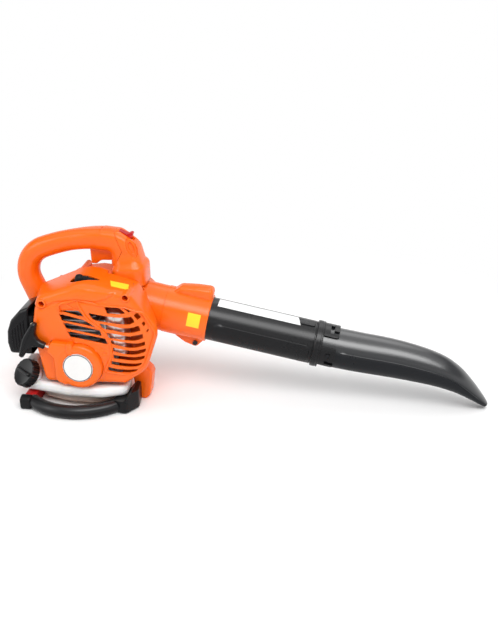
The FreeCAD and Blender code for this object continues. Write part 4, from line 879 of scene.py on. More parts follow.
def build_handle():
    """Two grip halves and the tower, parted at their seams."""
    whole = raw_object("handle", grip_form())
    carve(whole, [rod((14, -100, 108), (14, 100, 108), 117.6, 160)])
    front = raw_object("front", pillow(TOWER_PROFILE, (DUCT_Y - 22.5, DUCT_Y + 22.5), upright,
                                       (11.0, 11.0), 8))
    join(front, [collar_form()])
    carve(front, [under_plane(ROOF + 6.0)])
    join(whole, [front])
    carve(whole, [pillow([(-3, 230, 2), (-3, 290, 4), (54, 290, 4), (54, 230, 2)],
                         (DUCT_Y - 6.6, DUCT_Y + 6.6), upright, (0.2, 0.2))])
    way = Vector((math.cos(SWITCH_PITCH), 0, -math.sin(SWITCH_PITCH)))
    seat = placed(SWITCH_SEAT, way, Vector((-way.z, 0, way.x)), NEAR_WAY)
    carve(whole, [prism(((-4, -9), (27, -9), (27, 20), (-4, 20)), (-6.3, 6.3), seat)])
    carve_dimples(whole)
    tower = copy_of(whole)
    carve(tower, [seam_form(SEAM_GAP)])
    finish(tower, "tower_skin", "orange_shell", "orange_shell", "body", ("handle_tower",))
    keep_within(whole, seam_form(-SEAM_GAP))
    for name, low, high in (("near", -200, CASE_SPLIT - 0.3), ("far", CASE_SPLIT + 0.3, 200)):
        half = copy_of(whole)
        keep_within(half, block((-400, low, 0), (400, high, 500)))
        finish(half, "grip_" + name, "orange_shell", "orange_shell", "body", ("handle_" + name,))
    bpy.data.objects.remove(whole)


def seam_form(grow):
    """Region behind the seam between grip and tower."""
    return prism([(x + grow, z) for x, z in SEAM], (-200, 200), upright)


COVER_ROOT = [(-82, 47, 12), (-110, 160, 18), (-86, 208, 20), (6, 249, 60), (96, 226, 14),
              (126, 150, 44), (108, 80, 44), (84, 52, 10)]
COVER_FRONT = [(-68, 50, 12), (-84, 150, 40), (-72, 212, 18), (6, 240, 60), (94, 229, 14),
               (142, 160, 34), (118, 84, 44), (80, 56, 10)]
COVER_CENTRE = Vector((0.0, 90.0))
COVER_WALL = 2.6
COVER_EDGE = 9.0         # rounding between the cover's face and its sides
BROW = ((-60, 198), (-52.7, 202.9), (-29.8, 211), (-7.5, 214.5), (16.7, 214.4), (35.9, 213.6),
        (50.6, 217.5), (62, 226), (73.2, 233), (88, 246))
SCREW_WELLS = ((-60, 203), (89, 223))
SLOT_GROWTH = 1.1        # the bars' rounded edges make the slots look this much wider each way
SLOT_DEPTHS = (-112.0, -70.0)
# Each slot of the grille: (x, top, bottom) along its length
CYLINDER_SLOTS = (
    ((-28.6, 192, 191.2), (-20.8, 192.1, 190.4), (4.9, 192.8, 184.6), (15, 184, 183.4)),
    ((-29.8, 185.7, 184.9), (-26.4, 184.8, 174.1), (13, 175.6, 168.7), (32.6, 165.2, 164.4)),
    ((-23.9, 169.5, 168.7), (-20, 168.7, 159.1), (40.3, 157.6, 149.3), (42.9, 149.6, 148.8)),
    ((-17.7, 153.1, 152.3), (-14, 152.5, 143.7), (48.8, 142.4, 133.9), (52.7, 134, 133.2)))
MUFFLER_SLOTS = (
    ((52, 203.5, 202.7), (55.5, 203.5, 192.4), (75.9, 203.6, 192), (86.8, 195, 194.2)),
    ((84.4, 205.1, 204.5), (93.3, 201.4, 197), (97.7, 199.6, 199)),
    ((23, 189.8, 189), (31.7, 188.3, 178.6), (54.4, 185.3, 175.4), (75, 184.1, 173.4),
     (92.8, 185.9, 174.2), (97.8, 186.9, 176.4), (102.4, 179.4, 178.5)),
    ((41.2, 171, 170.2), (47.7, 169.9, 162.9), (66, 166.9, 160.5), (80, 164.5, 158),
     (97, 166.3, 158.5), (108.8, 170.2, 161.9), (111.8, 163.8, 163)),
    ((52, 154, 153.2), (56.7, 153.6, 145.9), (67.8, 152.7, 144.8), (90, 149.7, 143.4),
     (102.2, 151.7, 143.8), (115.7, 155, 148.6)),
    ((58.9, 140.4, 139.6), (62, 140, 134.1), (90.4, 137, 129.4), (107, 136.9, 131.5),
     (118.6, 140.8, 135.5)),
    ((61.6, 126, 120.9), (72.4, 124.4, 117.8), (91, 122.3, 116), (102.2, 122.8, 117),
     (115.7, 125.9, 121.3), (119.8, 126.8, 126)),
    ((61.6, 112.3, 106.6), (71.6, 111.1, 105.9), (97, 109.8, 104.9), (112.4, 112, 107.9),
     (117.4, 113.4, 112.6)),
    ((57, 99.6, 94.7), (71.6, 97.9, 92.9), (88.2, 97.1, 92.2), (103.9, 97.9, 94.4),
     (111.6, 99.7, 99)),
    ((50.6, 87.5, 82.3), (65.5, 84.8, 80), (85, 84.5, 80.5), (96.3, 85.9, 83.2),
     (103.5, 87.1, 86.3)),
    ((102.2, 190.4, 189.8), (107.8, 195.5, 183.4), (114, 188.6, 188)),
    ((115, 176, 175.4), (118, 178.9, 171), (121, 176.2, 175.6)),
    ((121.9, 161, 160), (124, 164.4, 160), (126.4, 165, 164.4)))
RIM_LINE = [(-35, 205, 8), (4, 215, 5), (44, 208, 5), (86, 207, 20), (119, 197, 9),
            (139, 157, 18), (118, 92, 26), (88, 73, 22), (46, 77, 3), (34, 116, 12), (-9, 133, 10)]
RIB_LINE = ((3, 212), (12, 192), (23, 176), (42, 161), (50, 153), (56.5, 140), (58.5, 124),
            (56.5, 107), (50, 92), (45, 80))


def brow_height(x):
    """Height of the brow's ridge over a place along the cover."""
    if x <= BROW[0][0]:
        return BROW[0][1]
    for (x0, z0), (x1, z1) in zip(BROW, BROW[1:]):
        if x <= x1:
            share = (x - x0) / (x1 - x0)
            return z0 + (z1 - z0) * smooth_step(share, 0, 1) * 0.5 + (z1 - z0) * share * 0.5
    return BROW[-1][1]


def cover_face_y(x, z, relief):
    """Depth of the cover's face; relief adds the lip round the starter and the small waves beside it."""
    y = COVER_FACE + 0.0032 * max(x - 88, 0) ** 2
    over = z - brow_height(x)
    if over > 0:
        y += 24 * (1 - math.sqrt(max(1 - (over / 34) ** 2, 0.0)))
    y += 2.6 * smooth_step(over, -9, -4.5) * (1 - smooth_step(over, -3, 0.5))
    if relief:
        away = math.hypot(x, z - CRANK_HEIGHT)
        y -= 1.8 * (1 - smooth_step(away, 45.5, 48))
        if 49 < away and 26 < x < 54 and 88 < z < 132:
            inside = smooth_step(away, 49, 51) * smooth_step(z, 96, 99) * (1 - smooth_step(z, 124, 128))
            inside *= 1 - smooth_step(x, 44 + (z - 90) * 0.18, 47 + (z - 90) * 0.18)
            y += 1.4 * inside * (0.5 + 0.5 * math.sin((z + 0.17 * x) * 2 * math.pi / 7.5))
    return y


def cover_rings(inwards, relief, face_rings, count=216):
    """Rings of the cover from its back edge to the middle of its face."""
    root = even(arc_points(inset(COVER_ROOT, inwards), 8), count)
    front = even(arc_points(inset(COVER_FRONT, inwards), 8), count)
    rings = []
    for step in range(9):
        share = step / 8
        row = []
        for a, b in zip(root, front):
            p = a.lerp(b, share)
            edge = cover_face_y(b.x, b.y, relief) + inwards + COVER_EDGE
            row.append(Vector((p.x, COVER_BACK + (edge - COVER_BACK) * share, p.y)))
        rings.append(row)
    for step in range(1, 6):
        turn = math.pi / 2 * step / 5
        depth = COVER_EDGE * (1 - math.cos(turn))
        points = even(arc_points(inset(COVER_FRONT, inwards + depth), 8), count)
        rings.append([Vector((p.x, cover_face_y(p.x, p.y, relief) + inwards
                              + COVER_EDGE * (1 - math.sin(turn)), p.y)) for p in points])
    last = [Vector((p.x, p.z)) for p in rings[-1]]
    for step in range(1, face_rings + 1):
        share = 0.98 * step / face_rings
        points = [p.lerp(COVER_CENTRE, share) for p in last]
        rings.append([Vector((p.x, cover_face_y(p.x, p.y, relief) + inwards, p.y)) for p in points])
    return rings


def slot_form(rows):
    """Cutter with curved long sides from rows of (x, top, bottom)."""
    fine = curve_through(rows, 4 * len(rows)) if len(rows) > 4 else list(rows)
    widen = [min(SLOT_GROWTH, 0.5 * (top - low)) for x, top, low in fine]
    outline = [(x, top + more) for (x, top, low), more in zip(fine, widen)]
    outline += [(x, low - more) for (x, top, low), more in reversed(list(zip(fine, widen)))]
    return prism(outline, SLOT_DEPTHS, upright)


def raised_rim():
    """Ring that stands out of the cover's face round both groups of slots."""
    rings = []
    for inwards, out in ((0, -2.5), (0.1, 1.4), (1.0, 2.2), (2.8, 2.2), (3.6, 1.4), (3.6, -2.5)):
        points = even(arc_points(inset(RIM_LINE, inwards), 8), 260)
        rings.append([Vector((p.x, cover_face_y(p.x, p.y, False) - out, p.y)) for p in points])
    return skin(rings, closed=True)


def raised_rib():
    """Curved rib between the two groups of slots."""
    line = curve_through(RIB_LINE, 60)
    rings = []
    for index, (x, z) in enumerate(line):
        before, after = line[max(index - 1, 0)], line[min(index + 1, len(line) - 1)]
        side = Vector((before[1] - after[1], 0, after[0] - before[0])).normalized()
        y = cover_face_y(x, z, False)
        row = []
        for across, out in ((-2.4, -2.5), (-2.4, 1.2), (-1.6, 2.2), (1.6, 2.2), (2.4, 1.2), (2.4, -2.5)):
            row.append(Vector((x, y - out, z)) + side * across)
        rings.append(row)
    return skin(rings)


WELL_FACE = -96.0
# What is cut out of the cover: the plug's eye, two pockets and the room for the filter
PLUG_EYE = [(-17, -69, 11), (4, -69, 14), (42, -58, 2.5), (4, -47, 14), (-17, -47, 11)]
POCKETS = (((-28.2, 200), (-21.6, 202.4), (-1.3, 195.6), (-28.2, 193.2)),
           ((-15.6, 205.1), (2.1, 209), (7.3, 196.2), (-1.7, 197.4)))
FILTER_ROOM = [(-76.5, 189.6, 1), (-108, 181.6, 10), (-126.5, 161.5, 14), (-134.5, 140, 14),
               (-136.5, 116.5, 10), (-132.5, 96.5, 5), (-76.5, 96.5, 1)]


def build_cover():
    """Engine cover with its brow, grille, screw wells and plug eye."""
    outer = cover_rings(0.0, True, 66)
    inner = cover_rings(COVER_WALL, False, 40)
    body = raw_object("cover_skin", skin(list(reversed(inner)) + outer))
    join(body, [raised_rim(), raised_rib()])
    well = [(0, 7.2), (0.8, 8.0), (-COVER_BACK - WELL_FACE - 80, 8.0)]
    join(body, [lathe(well, (x, WELL_FACE, z), (0, 1, 0)) for x, z in SCREW_WELLS])
    cuts = [slot_form(rows) for rows in CYLINDER_SLOTS + MUFFLER_SLOTS]
    cuts += [rod((x, -120, z), (x, -62, z), 5.2) for x, z in SCREW_WELLS]
    cuts += [prism(pocket, (-110, COVER_FACE + 1.6), upright) for pocket in POCKETS]
    cuts += [prism(arc_points(PLUG_EYE, 6), (222, 270), level),
             rod((0, -130, CRANK_HEIGHT), (0, -60, CRANK_HEIGHT), 42.6, 96),
             pillow(FILTER_ROOM, (-84.6, -23.4), upright, (0.1, 0.1)),
             block((-91, -110, 131), (-77.5, -83.6, 166)), block((-66, -86, 20), (62, -16, 62)),
             rod(on_duct(12), on_duct(200), 43.2, 96),
             prism(((-5, -26.4), (200, -26.4), (200, 80), (-5, 80)), (ROOF - 1, ROOF + 200), along_roof),
             arm_form(0.6)]
    carve(body, cuts)
    finish(body, "cover_skin", "orange_shell", "orange_shell", "body", ("engine_cover",), 40.0)


STARTER_ARM = [(-14, 133, 6), (-48, 135, 8), (-56, 117, 5), (-44, 104, 8), (-44, 60, 12),
               (-26, 52, 8), (0, 60, 2), (0, 110, 2)]
DRUM_FACE = -108
ROPE_EXIT = Vector((-52, -103, 125))
ROPE_WAY = Vector((-math.cos(math.radians(18)), 0, math.sin(math.radians(18))))
BAR_WAY = Vector((math.sin(math.radians(25)), 0, math.cos(math.radians(25))))


def arm_form(grow):
    """Arm of the starter case that leads the rope to the grip."""
    return pillow(inset(STARTER_ARM, -grow), (-107 - grow, -82 + grow), upright, (5.0, 0.2), 8)


def build_starter():
    """Starter case with its drum, its rope arm and the badge's seat."""
    drum = [(-82, 42), (-100, 42)]
    for step in range(1, 8):
        turn = math.pi / 2 * step / 7
        drum.append((-100.5 - 7.5 * math.sin(turn), 34.5 + 7.5 * math.cos(turn)))
    drum += [(DRUM_FACE, 28.4), (-107.6, 27.4), (-106.8, 27.2), (-106.8, 0.2)]
    body = raw_object("starter_skin", lathe([(y - DRUM_FACE, radius) for y, radius in drum],
                                            (0, DRUM_FACE, CRANK_HEIGHT), (0, 1, 0), 96))
    join(body, [arm_form(0.0)])
    join(body, [pillow([(-20, 112, 3), (-7, 112, 3), (-7, 136, 5), (-20, 136, 5)], (-110, -90), upright,
                       (5.0, 0.2))])
    carve(body, [rod((0, -104.5, CRANK_HEIGHT), (0, -70, CRANK_HEIGHT), 39.5, 96)])
    carve(body, [rod(ROPE_EXIT + ROPE_WAY * 14, ROPE_EXIT - ROPE_WAY * 30, 2.6)])
    finish(body, "starter_skin", "orange_shell", "orange_shell", "body", ("starter_case",))


GRIP_OUTLINE = [(0, -5.4, 1), (13, -6, 16), (24, -15, 16), (28, -37, 3), (36, -37.5, 4.4), (41.5, 0, 70),
                (36, 37.5, 4.4), (28, 37, 3), (24, 15, 16), (13, 6, 16), (0, 5.4, 1)]


def build_grip():
    """Pull grip: a flared stem and a broad cross bar."""
    start = ROPE_EXIT + ROPE_WAY * 6
    body = raw_object("pull_handle", pillow(
        GRIP_OUTLINE, (-6.6, 6.6), placed(start, ROPE_WAY, BAR_WAY, NEAR_WAY), (4.6, 4.6), 10))
    carve(body, [rod(start - ROPE_WAY, start + ROPE_WAY * 19.5, 1.9, 20)])
    finish(body, "pull_handle", "black_case", "black_rubber", "pull_grip", ("starter_grip",))


def build_rope():
    """Straight rope that runs from the case to the grip."""
    start, end = ROPE_EXIT - ROPE_WAY * 10, ROPE_EXIT + ROPE_WAY * 20
    rings = []
    for step in range(31):
        centre = start.lerp(end, step / 30)
        rings.append(ring(centre, NEAR_WAY, ROPE_WAY.cross(NEAR_WAY), 1.75, 1.75, 14))
    body = raw_object("rope_span", skin(rings))
    body.data.materials.append(finish_named("rope"))
    body.data.shade_smooth()
    tuple(at(start + ROPE_WAY))
    tuple(at(end - ROPE_WAY))
    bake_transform(body)
    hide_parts("starter_rope")


CAP_AXIS = Vector((-0.5, -0.62, 0.6)).normalized()
CAP_SEAT = Vector((-106, -81, 58))
TANK_PLAN = [(-116, -84, 18), (-30, -101, 40), (36, -101, 40), (80, -84, 14), (80, -50, 5),
             (74, -44, 4), (74, -17.3, 4), (-116, -17.3, 8)]
SUMP_PLAN = [(-82, -77, 16), (-30, -92, 60), (22, -92, 60), (52, -72, 12), (52, -34, 8), (-82, -34, 8)]


SHOULDER_PLAN = [(-116, -88, 6), (-89, -88, 6), (-89, -29, 6), (-116, -29, 6)]
CAP_PROFILE = ((0, 25.0, 0.8), (0.8, 25.8, 1.2), (14.6, 25.8, 1.2), (16.2, 25.0, 0.8), (17.0, 23.6, 0.0),
               (16.2, 22.0, 0.0), (16.0, 4.0, 0.0))      # distance, radius, depth of the flutes
CAP_FLUTES = 18


def build_tank():
    """Tank with its sump, filler shoulder, neck and moulding seam."""
    body = raw_object("tank_skin", pillow(inset(TANK_PLAN, 0.6), (26, 46.6), level, (7.0, 6.0), 8))
    shoulder = raw_object("shoulder", pillow(SHOULDER_PLAN, (30, 74), level, (0.2, 5.0), 6))
    carve(shoulder, [rod(CAP_SEAT - CAP_AXIS * 3, CAP_SEAT + CAP_AXIS * 60, 60.0)])
    join(body, [pillow(SUMP_PLAN, (9, 34), level, (9.0, 0.2), 8),
                pillow(inset(TANK_PLAN, 0.2), (35, 37), level, (0.9, 0.9), 8)])
    join(body, [shoulder])
    carve(body, [rod(CAP_SEAT - CAP_AXIS * 9.5, CAP_SEAT + CAP_AXIS * 40, 27.5, 64)])
    join(body, [rod(CAP_SEAT - CAP_AXIS * 20, CAP_SEAT, 17.0, 48)])
    finish(body, "tank_skin", "tank_white", "tank_white", "body", ("fuel_tank",))


def build_cap():
    """Filler cap with a fluted rim and a finger bar."""
    start = CAP_SEAT + CAP_AXIS * (0.3 - 8.0)
    side = CAP_AXIS.cross(Vector((0, 0, 1))).normalized()
    place = placed(start, side, side.cross(CAP_AXIS), CAP_AXIS)
    rings = []
    for along, radius, flute in CAP_PROFILE:
        row = []
        for index in range(180):
            turn = 2 * math.pi * index / 180
            r = radius - flute * max(math.cos(turn * CAP_FLUTES), 0) ** 2
            row.append(place(r * math.cos(turn), r * math.sin(turn), along))
        rings.append(row)
    body = raw_object("cap_skin", skin(rings))
    join(body, [pillow([(-20, -3.4, 3), (20, -3.4, 3), (20, 3.4, 3), (-20, 3.4, 3)], (12, 20.4), place,
                       (0.2, 2.6))])
    carve(body, [rod(start - CAP_AXIS, CAP_SEAT + CAP_AXIS * 1.8, 17.4, 64)])
    finish(body, "cap_skin", "black_case", "black_case", "cap", ("fuel_cap",))


# The stand tube lies on a circle through these places
STAND_LINE = (Vector((-94, -97)), Vector((-2, -127)), Vector((68, -84)))
STAND_HEIGHT, STAND_RADIUS = 12, 12
BOOT_PLAN = [(54, -98, 8), (80, -108, 12), (99, -78, 12), (95, -44, 4), (80, -44, 3), (62, -72, 8)]
BOOT_SLOPE = ((40, 22), (78, 27), (88, 37), (120, 37), (120, 80), (40, 80))
FOOT_PROFILE = [(58, 48, 1), (72, 72, 4), (101, 70, 5), (113, 58, 5), (116, 50, 6), (110, 8, 6),
                (102, 0, 3), (84, 0, 3), (80, 47.5, 2)]
LUG_PROFILE = [(-99, 0.6, 3), (-17, 0.6, 3), (-17, 23, 5), (-99, 23, 8)]
CLIP_PROFILE = [(-114, 0.5, 5), (-86, 0.5, 3), (-86, 14, 4), (-101, 26, 6), (-114, 22, 8)]


def circle_middle(a, b, c):
    """Middle of the circle through three points of a plane."""
    d = 2 * (a.x * (b.y - c.y) + b.x * (c.y - a.y) + c.x * (a.y - b.y))
    p, q, r = a.length_squared, b.length_squared, c.length_squared
    return Vector(((p * (b.y - c.y) + q * (c.y - a.y) + r * (a.y - b.y)) / d,
                   (p * (c.x - b.x) + q * (a.x - c.x) + r * (b.x - a.x)) / d))


def stand_form():
    """Bent tube with rounded ends."""
    middle = circle_middle(*STAND_LINE)
    arms = [STAND_LINE[0] - middle, STAND_LINE[2] - middle]
    first, last = (math.atan2(arm.y, arm.x) for arm in arms)
    rings = []
    for step in range(61):
        turn = first + (last - first) * step / 60
        out = Vector((math.cos(turn), math.sin(turn), 0))
        centre = Vector((*middle, STAND_HEIGHT)) + out * arms[0].length
        radius = STAND_RADIUS - 1 + min(step, 60 - step, 1)
        rings.append(ring(centre, out, Vector((0, 0, 1)), radius, radius, 40))
    return skin(rings)


def build_stand():
    """Bent stand tube, its front boot and the front foot."""
    piece(stand_form(), "stand_bar", "black_case", "black_rubber", "body", ("stand_tube",))
    boot = raw_object("boot_skin", pillow(BOOT_PLAN, (0.4, 38), level, (5.0, 3.0), 8))
    carve(boot, [stand_form(), prism(BOOT_SLOPE, (-140, 0), upright),
                 pillow(inset(TANK_PLAN, -0.6), (25.4, 60), level, (0.1, 0.1))])
    finish(boot, "boot_skin", "black_case", "black_case", "body", ("stand_boot",))
    foot = raw_object("foot_skin", pillow(FOOT_PROFILE, (-44, -17), upright, (4.0, 0.2), 8))
    carve(foot, [skin(cover_rings(-0.4, False, 3, 120))])
    finish(foot, "foot_skin", "orange_shell", "orange_shell", "body", ("front_foot",))


def build_clip():
    """Rubber clip round the stand tube's rear end, and the red lug that it hangs on."""
    piece(pillow(LUG_PROFILE, (-110, -88), sideways, (5.0, 2.0), 8),
          "lug_skin", "red_plastic", "red_plastic", "body", ("rear_lug",))
    piece(pillow(CLIP_PROFILE, (-113, -93), sideways, (3.0, 3.0), 8),
          "rear_clip", "black_rubber", "black_rubber", "body")


FILTER_BACK, FILTER_CUT = -90, -80       # where the filter cover ends, and where its room is cut to
FILTER_OUTLINE = [(FILTER_BACK, 189, 1.5), (-108, 181, 10), (-126, 161, 14), (-134, 140, 14),
                  (-136, 117, 10), (-132, 97, 6), (FILTER_BACK, 97, 1.5)]


def build_filter():
    """Filter cover with its ribs."""
    body = raw_object("filter_skin", pillow(FILTER_OUTLINE, (-84, -24), upright, (6.0, 6.0), 8))
    ribs = []
    for index in range(5):
        left, top = -125 + index * 5.6, 146 + index * 5
        rib = [(left, 106, 0.9), (left + 2, 106, 0.9), (left + 2, top, 0.9), (left, top, 0.9)]
        ribs.append(pillow(rib, (-85, -80), upright, (0.8, 0.1), 4))
    join(body, ribs)
    room = [(FILTER_CUT if u == FILTER_BACK else u, v, r) for u, v, r in FILTER_OUTLINE]
    carve(body, [pillow(inset(room, 2.5), (-81.5, -26.5), upright, (4.0, 4.0), 8)])
    finish(body, "filter_skin", "black_case", "black_case", "filter_lid", ("filter_cover",))


def build_boot():
    """Plug boot with its side arm, up through the cover's eye."""
    profile = [(0, 8.2), (14, 8.2), (15, 8.9), (18, 8.9), (19, 8.3), (27, 8.2), (31, 7.2), (33.6, 5.2),
               (35, 2.6), (35.3, 0.4)]
    arm = [(0, 5.6), (12, 5.6), (13, 6.2), (15, 6.2), (16, 5.2), (26, 4.4), (27, 3.6), (42, 3.6)]
    low, up = Vector((-1, -58, 211.5)), Vector((0, 0, 1))
    body = raw_object("boot_rubber", lathe(profile, low, up, 40))
    join(body, [lathe(arm, low + up * 28, (1, 0, -0.16), 28)])
    carve(body, [rod(low - up, low + up * 9, 4.6)])
    finish(body, "boot_rubber", "black_rubber", "black_rubber", "body", ("plug_boot",))


BLADE = [(1, 275, 2), (2, 243, 2.5), (12, 243, 6), (20, 250, 14), (44, 251, 6), (51, 262, 4), (51, 275, 4)]


def build_trigger():
    """Throttle trigger."""
    body = raw_object("trigger_skin", pillow(BLADE, (DUCT_Y - 6, DUCT_Y + 6), upright, (2.4, 2.4), 8))
    carve(body, [rod((46, DUCT_Y - 20, 267), (46, DUCT_Y + 20, 267), 2.6)])
    finish(body, "trigger_skin", "orange_shell", "orange_shell", "trigger", ("trigger",))


# CAD nodes that stay


SMOOTH_BELOW = math.radians(33)      # edges with less of an angle are shaded smooth
WELD_DISTANCE = 0.00001


def smooth_group():
    """Geometry nodes that smooth a CAD mesh and keep its sharp edges."""
    group = bpy.data.node_groups.new("Smooth by edge", "GeometryNodeTree")
    for way in ("INPUT", "OUTPUT"):
        group.interface.new_socket(name="Geometry", in_out=way, socket_type="NodeSocketGeometry")
    nodes, links = group.nodes, group.links
    bare = nodes.new("GeometryNodeRemoveAttribute")
    bare.inputs["Name"].default_value = "custom_normal"
    weld = nodes.new("GeometryNodeMergeByDistance")
    weld.inputs["Distance"].default_value = WELD_DISTANCE
    faces = nodes.new("GeometryNodeSetShadeSmooth")
    edges = nodes.new("GeometryNodeSetShadeSmooth")
    edges.domain = "EDGE"
    small = nodes.new("FunctionNodeCompare")
    small.operation = "LESS_THAN"
    small.inputs["B"].default_value = SMOOTH_BELOW
    angle = nodes.new("GeometryNodeInputMeshEdgeAngle")
    links.new(angle.outputs["Unsigned Angle"], small.inputs["A"])
    links.new(small.outputs["Result"], edges.inputs["Shade Smooth"])
    flow = nodes.new("NodeGroupInput").outputs[0]
    for node in (bare, weld, faces, edges):
        links.new(flow, node.inputs["Geometry"])
        flow = node.outputs[0]
    links.new(flow, nodes.new("NodeGroupOutput").inputs[0])
    return group


def dress_nodes():
    """Gives every CAD node its material, and smooth shading with its sharp edges kept."""
    group = smooth_group()
    slots = {part["node"]: part["material_slot"] for part in frame["record"]["subparts"]}
    slots.update({name: "black_screw" for name in slots
                  if name.endswith("screws") or name == "clamp_screw"})
    for name, node in frame["nodes"].items():
        if not node.material_slots:
            node.data.materials.append(None)
        for place in node.material_slots:
            place.material = finish_named(slots[name])
        step = node.modifiers.new("smooth", "NODES")
        step.node_group = group


def make_materials(colours):
    """All the finishes of the blower."""
    for make_group in (tone_group, grain_group, height_band_group, painted_sheen_group, strands_group):
        make_group()
    surface("orange_shell", colours.orange, 0.26, 0.05, (750.0, 0.0, 0.04), edge=0.0007, gloss=0.40)
    # The black case and the nozzle get a painted sheen on their upper sides.
    surface("black_case", colours.black, 0.30, 0.2, (900.0, 0.0, 0.08), edge=0.0007, gloss=0.18,
            painted_sheen=0.3)
    surface("nozzle_black", colours.nozzle, 0.30, 0.15, (600.0, 0.0, 0.03), edge=0.0008, gloss=0.18,
            painted_sheen=1.0)
    tank_surface(colours.tank, colours.stain)
    surface("black_rubber", (0.008, 0.008, 0.009), 0.40, 0.3, (700.0, 0.0, 0.15), edge=0.0005,
            gloss=0.15)
    surface("red_plastic", colours.red, 0.38, 0.08, gloss=0.3)
    surface("fan_plastic", (0.02, 0.02, 0.022), 0.5, 0.2, gloss=0.3)
    surface("cast_alloy", (0.34, 0.34, 0.35), 0.5, 0.2, (500.0, 0.6, 0.5), metallic=0.9)
    surface("steel", (0.56, 0.56, 0.57), 0.3, 0.12, metallic=1.0)
    surface("black_screw", (0.03, 0.03, 0.032), 0.35, 0.15, metallic=0.6)
    surface("muffler_steel", (0.62, 0.61, 0.60), 0.34, 0.15, (400.0, 0.0, 0.15), metallic=1.0)
    surface("coil_black", (0.015, 0.015, 0.018), 0.35, 0.2, gloss=0.3)
    surface("foam", (0.03, 0.03, 0.032), 0.95, 0.25, (500.0, 1.0, 0.9), edge=0.0)
    surface("ivory_plastic", (0.78, 0.72, 0.55), 0.45, 0.08)
    rope_surface((0.72, 0.69, 0.62))
    surface("badge_white", (0.80, 0.80, 0.79), 0.3, 0.03, gloss=0.3)
    surface("label_white", (0.82, 0.83, 0.83), 0.35, 0.03, edge=0.0, gloss=0.3)
    surface("label_yellow", (0.90, 0.66, 0.03), 0.35, 0.03, edge=0.0, gloss=0.3)


# Stage


# Light from the surroundings over the height of a direction, 0 straight down and 1 straight up
WALL_LIGHT, CEILING_LIGHT = 0.15, 1.1
SKY_STOPS = ((0.0, 1.0), (0.56, 1.0), (0.60, WALL_LIGHT), (0.80, WALL_LIGHT * 1.4), (0.92, CEILING_LIGHT),
             (1.0, CEILING_LIGHT))
WHITE_FADE = (0.66, 0.71)            # where the white behind the object gives way to the walls
FLOOR_HALF = 30.0
FLOOR_FADE = (0.42, 0.85)            # distances over which the floor turns into the white background
CAMERA_PLACE = (490.71, -1446.47, 828.79)
CAMERA_AZIMUTH = math.radians(8)
CAMERA_ELEVATION = math.radians(25)
CAMERA_LENS, CAMERA_SENSOR = 50.31, 36.0
LAMP_TARGET = (290, 0, 150)
# Soft boxes: name, place from the target in metres, size, power
LAMPS = (("key", (0.6, -1.45, 2.1), (2.8, 1.2), 54.0),
         ("side", (-2.2, -1.4, 1.3), (0.9, 1.2), 12.0),
         ("rim", (0.6, 2.0, 2.2), (1.8, 1.8), 14.0))


def build_camera():
    """Camera at the photograph's angle."""
    across = Vector((math.cos(CAMERA_AZIMUTH), math.sin(CAMERA_AZIMUTH), 0))
    back = Vector((math.sin(CAMERA_AZIMUTH) * math.cos(CAMERA_ELEVATION),
                   -math.cos(CAMERA_AZIMUTH) * math.cos(CAMERA_ELEVATION), math.sin(CAMERA_ELEVATION)))
    data = bpy.data.cameras.new("camera")
    data.lens = CAMERA_LENS
    data.sensor_width = CAMERA_SENSOR
    body = bpy.data.objects.new("camera", data)
    bpy.context.scene.collection.objects.link(body)
    turn = Matrix((across, back.cross(across), back)).transposed().to_4x4()
    body.matrix_world = Matrix.Translation(at(CAMERA_PLACE)) @ turn
    bpy.context.scene.camera = body


def build_lamps():
    """Soft boxes that point at the blower."""
    for name, offset, size, power in LAMPS:
        data = bpy.data.lights.new(name, "AREA")
        data.shape = "RECTANGLE"
        data.size, data.size_y = size
        data.energy = power
        body = bpy.data.objects.new(name, data)
        bpy.context.scene.collection.objects.link(body)
        away = Vector(offset)
        turn = (-away).to_track_quat("-Z", "Y").to_matrix().to_4x4()
        body.matrix_world = Matrix.Translation(at(LAMP_TARGET) + away) @ turn


def seen_rays(tree):
    """1 for the rays that show the background: camera, glossy and transmission rays."""
    rays = tree.nodes.new("ShaderNodeLightPath").outputs
    total = rays["Is Camera Ray"]
    for name in ("Is Glossy Ray", "Is Transmission Ray"):
        total = maths(tree, "MAXIMUM", total, rays[name])
    return total


def build_world():
    """Studio surroundings: white background round the horizon, dim walls and a bright ceiling."""
    world = bpy.data.worlds.new("studio")
    world.use_nodes = True
    tree = world.node_tree
    height = mapped(tree, height_of(tree, coordinates(tree, "Generated")), (-1.0, 1.0))
    ramp = tree.nodes.new("ShaderNodeValToRGB")
    for place, strength in SKY_STOPS[1:-1]:
        ramp.color_ramp.elements.new(place)
    for element, (place, strength) in zip(ramp.color_ramp.elements, SKY_STOPS):
        element.position = place
        element.color = (strength, strength, strength, 1.0)
    tree.links.new(height, ramp.inputs["Fac"])
    white = maths(tree, "MULTIPLY", mapped(tree, height, WHITE_FADE, (1.0, 0.0)), seen_rays(tree))
    lighter = maths(tree, "MAXIMUM", ramp.outputs["Color"], white, kind="ShaderNodeVectorMath")
    tree.links.new(lighter, tree.nodes["Background"].inputs["Color"])
    bpy.context.scene.world = world


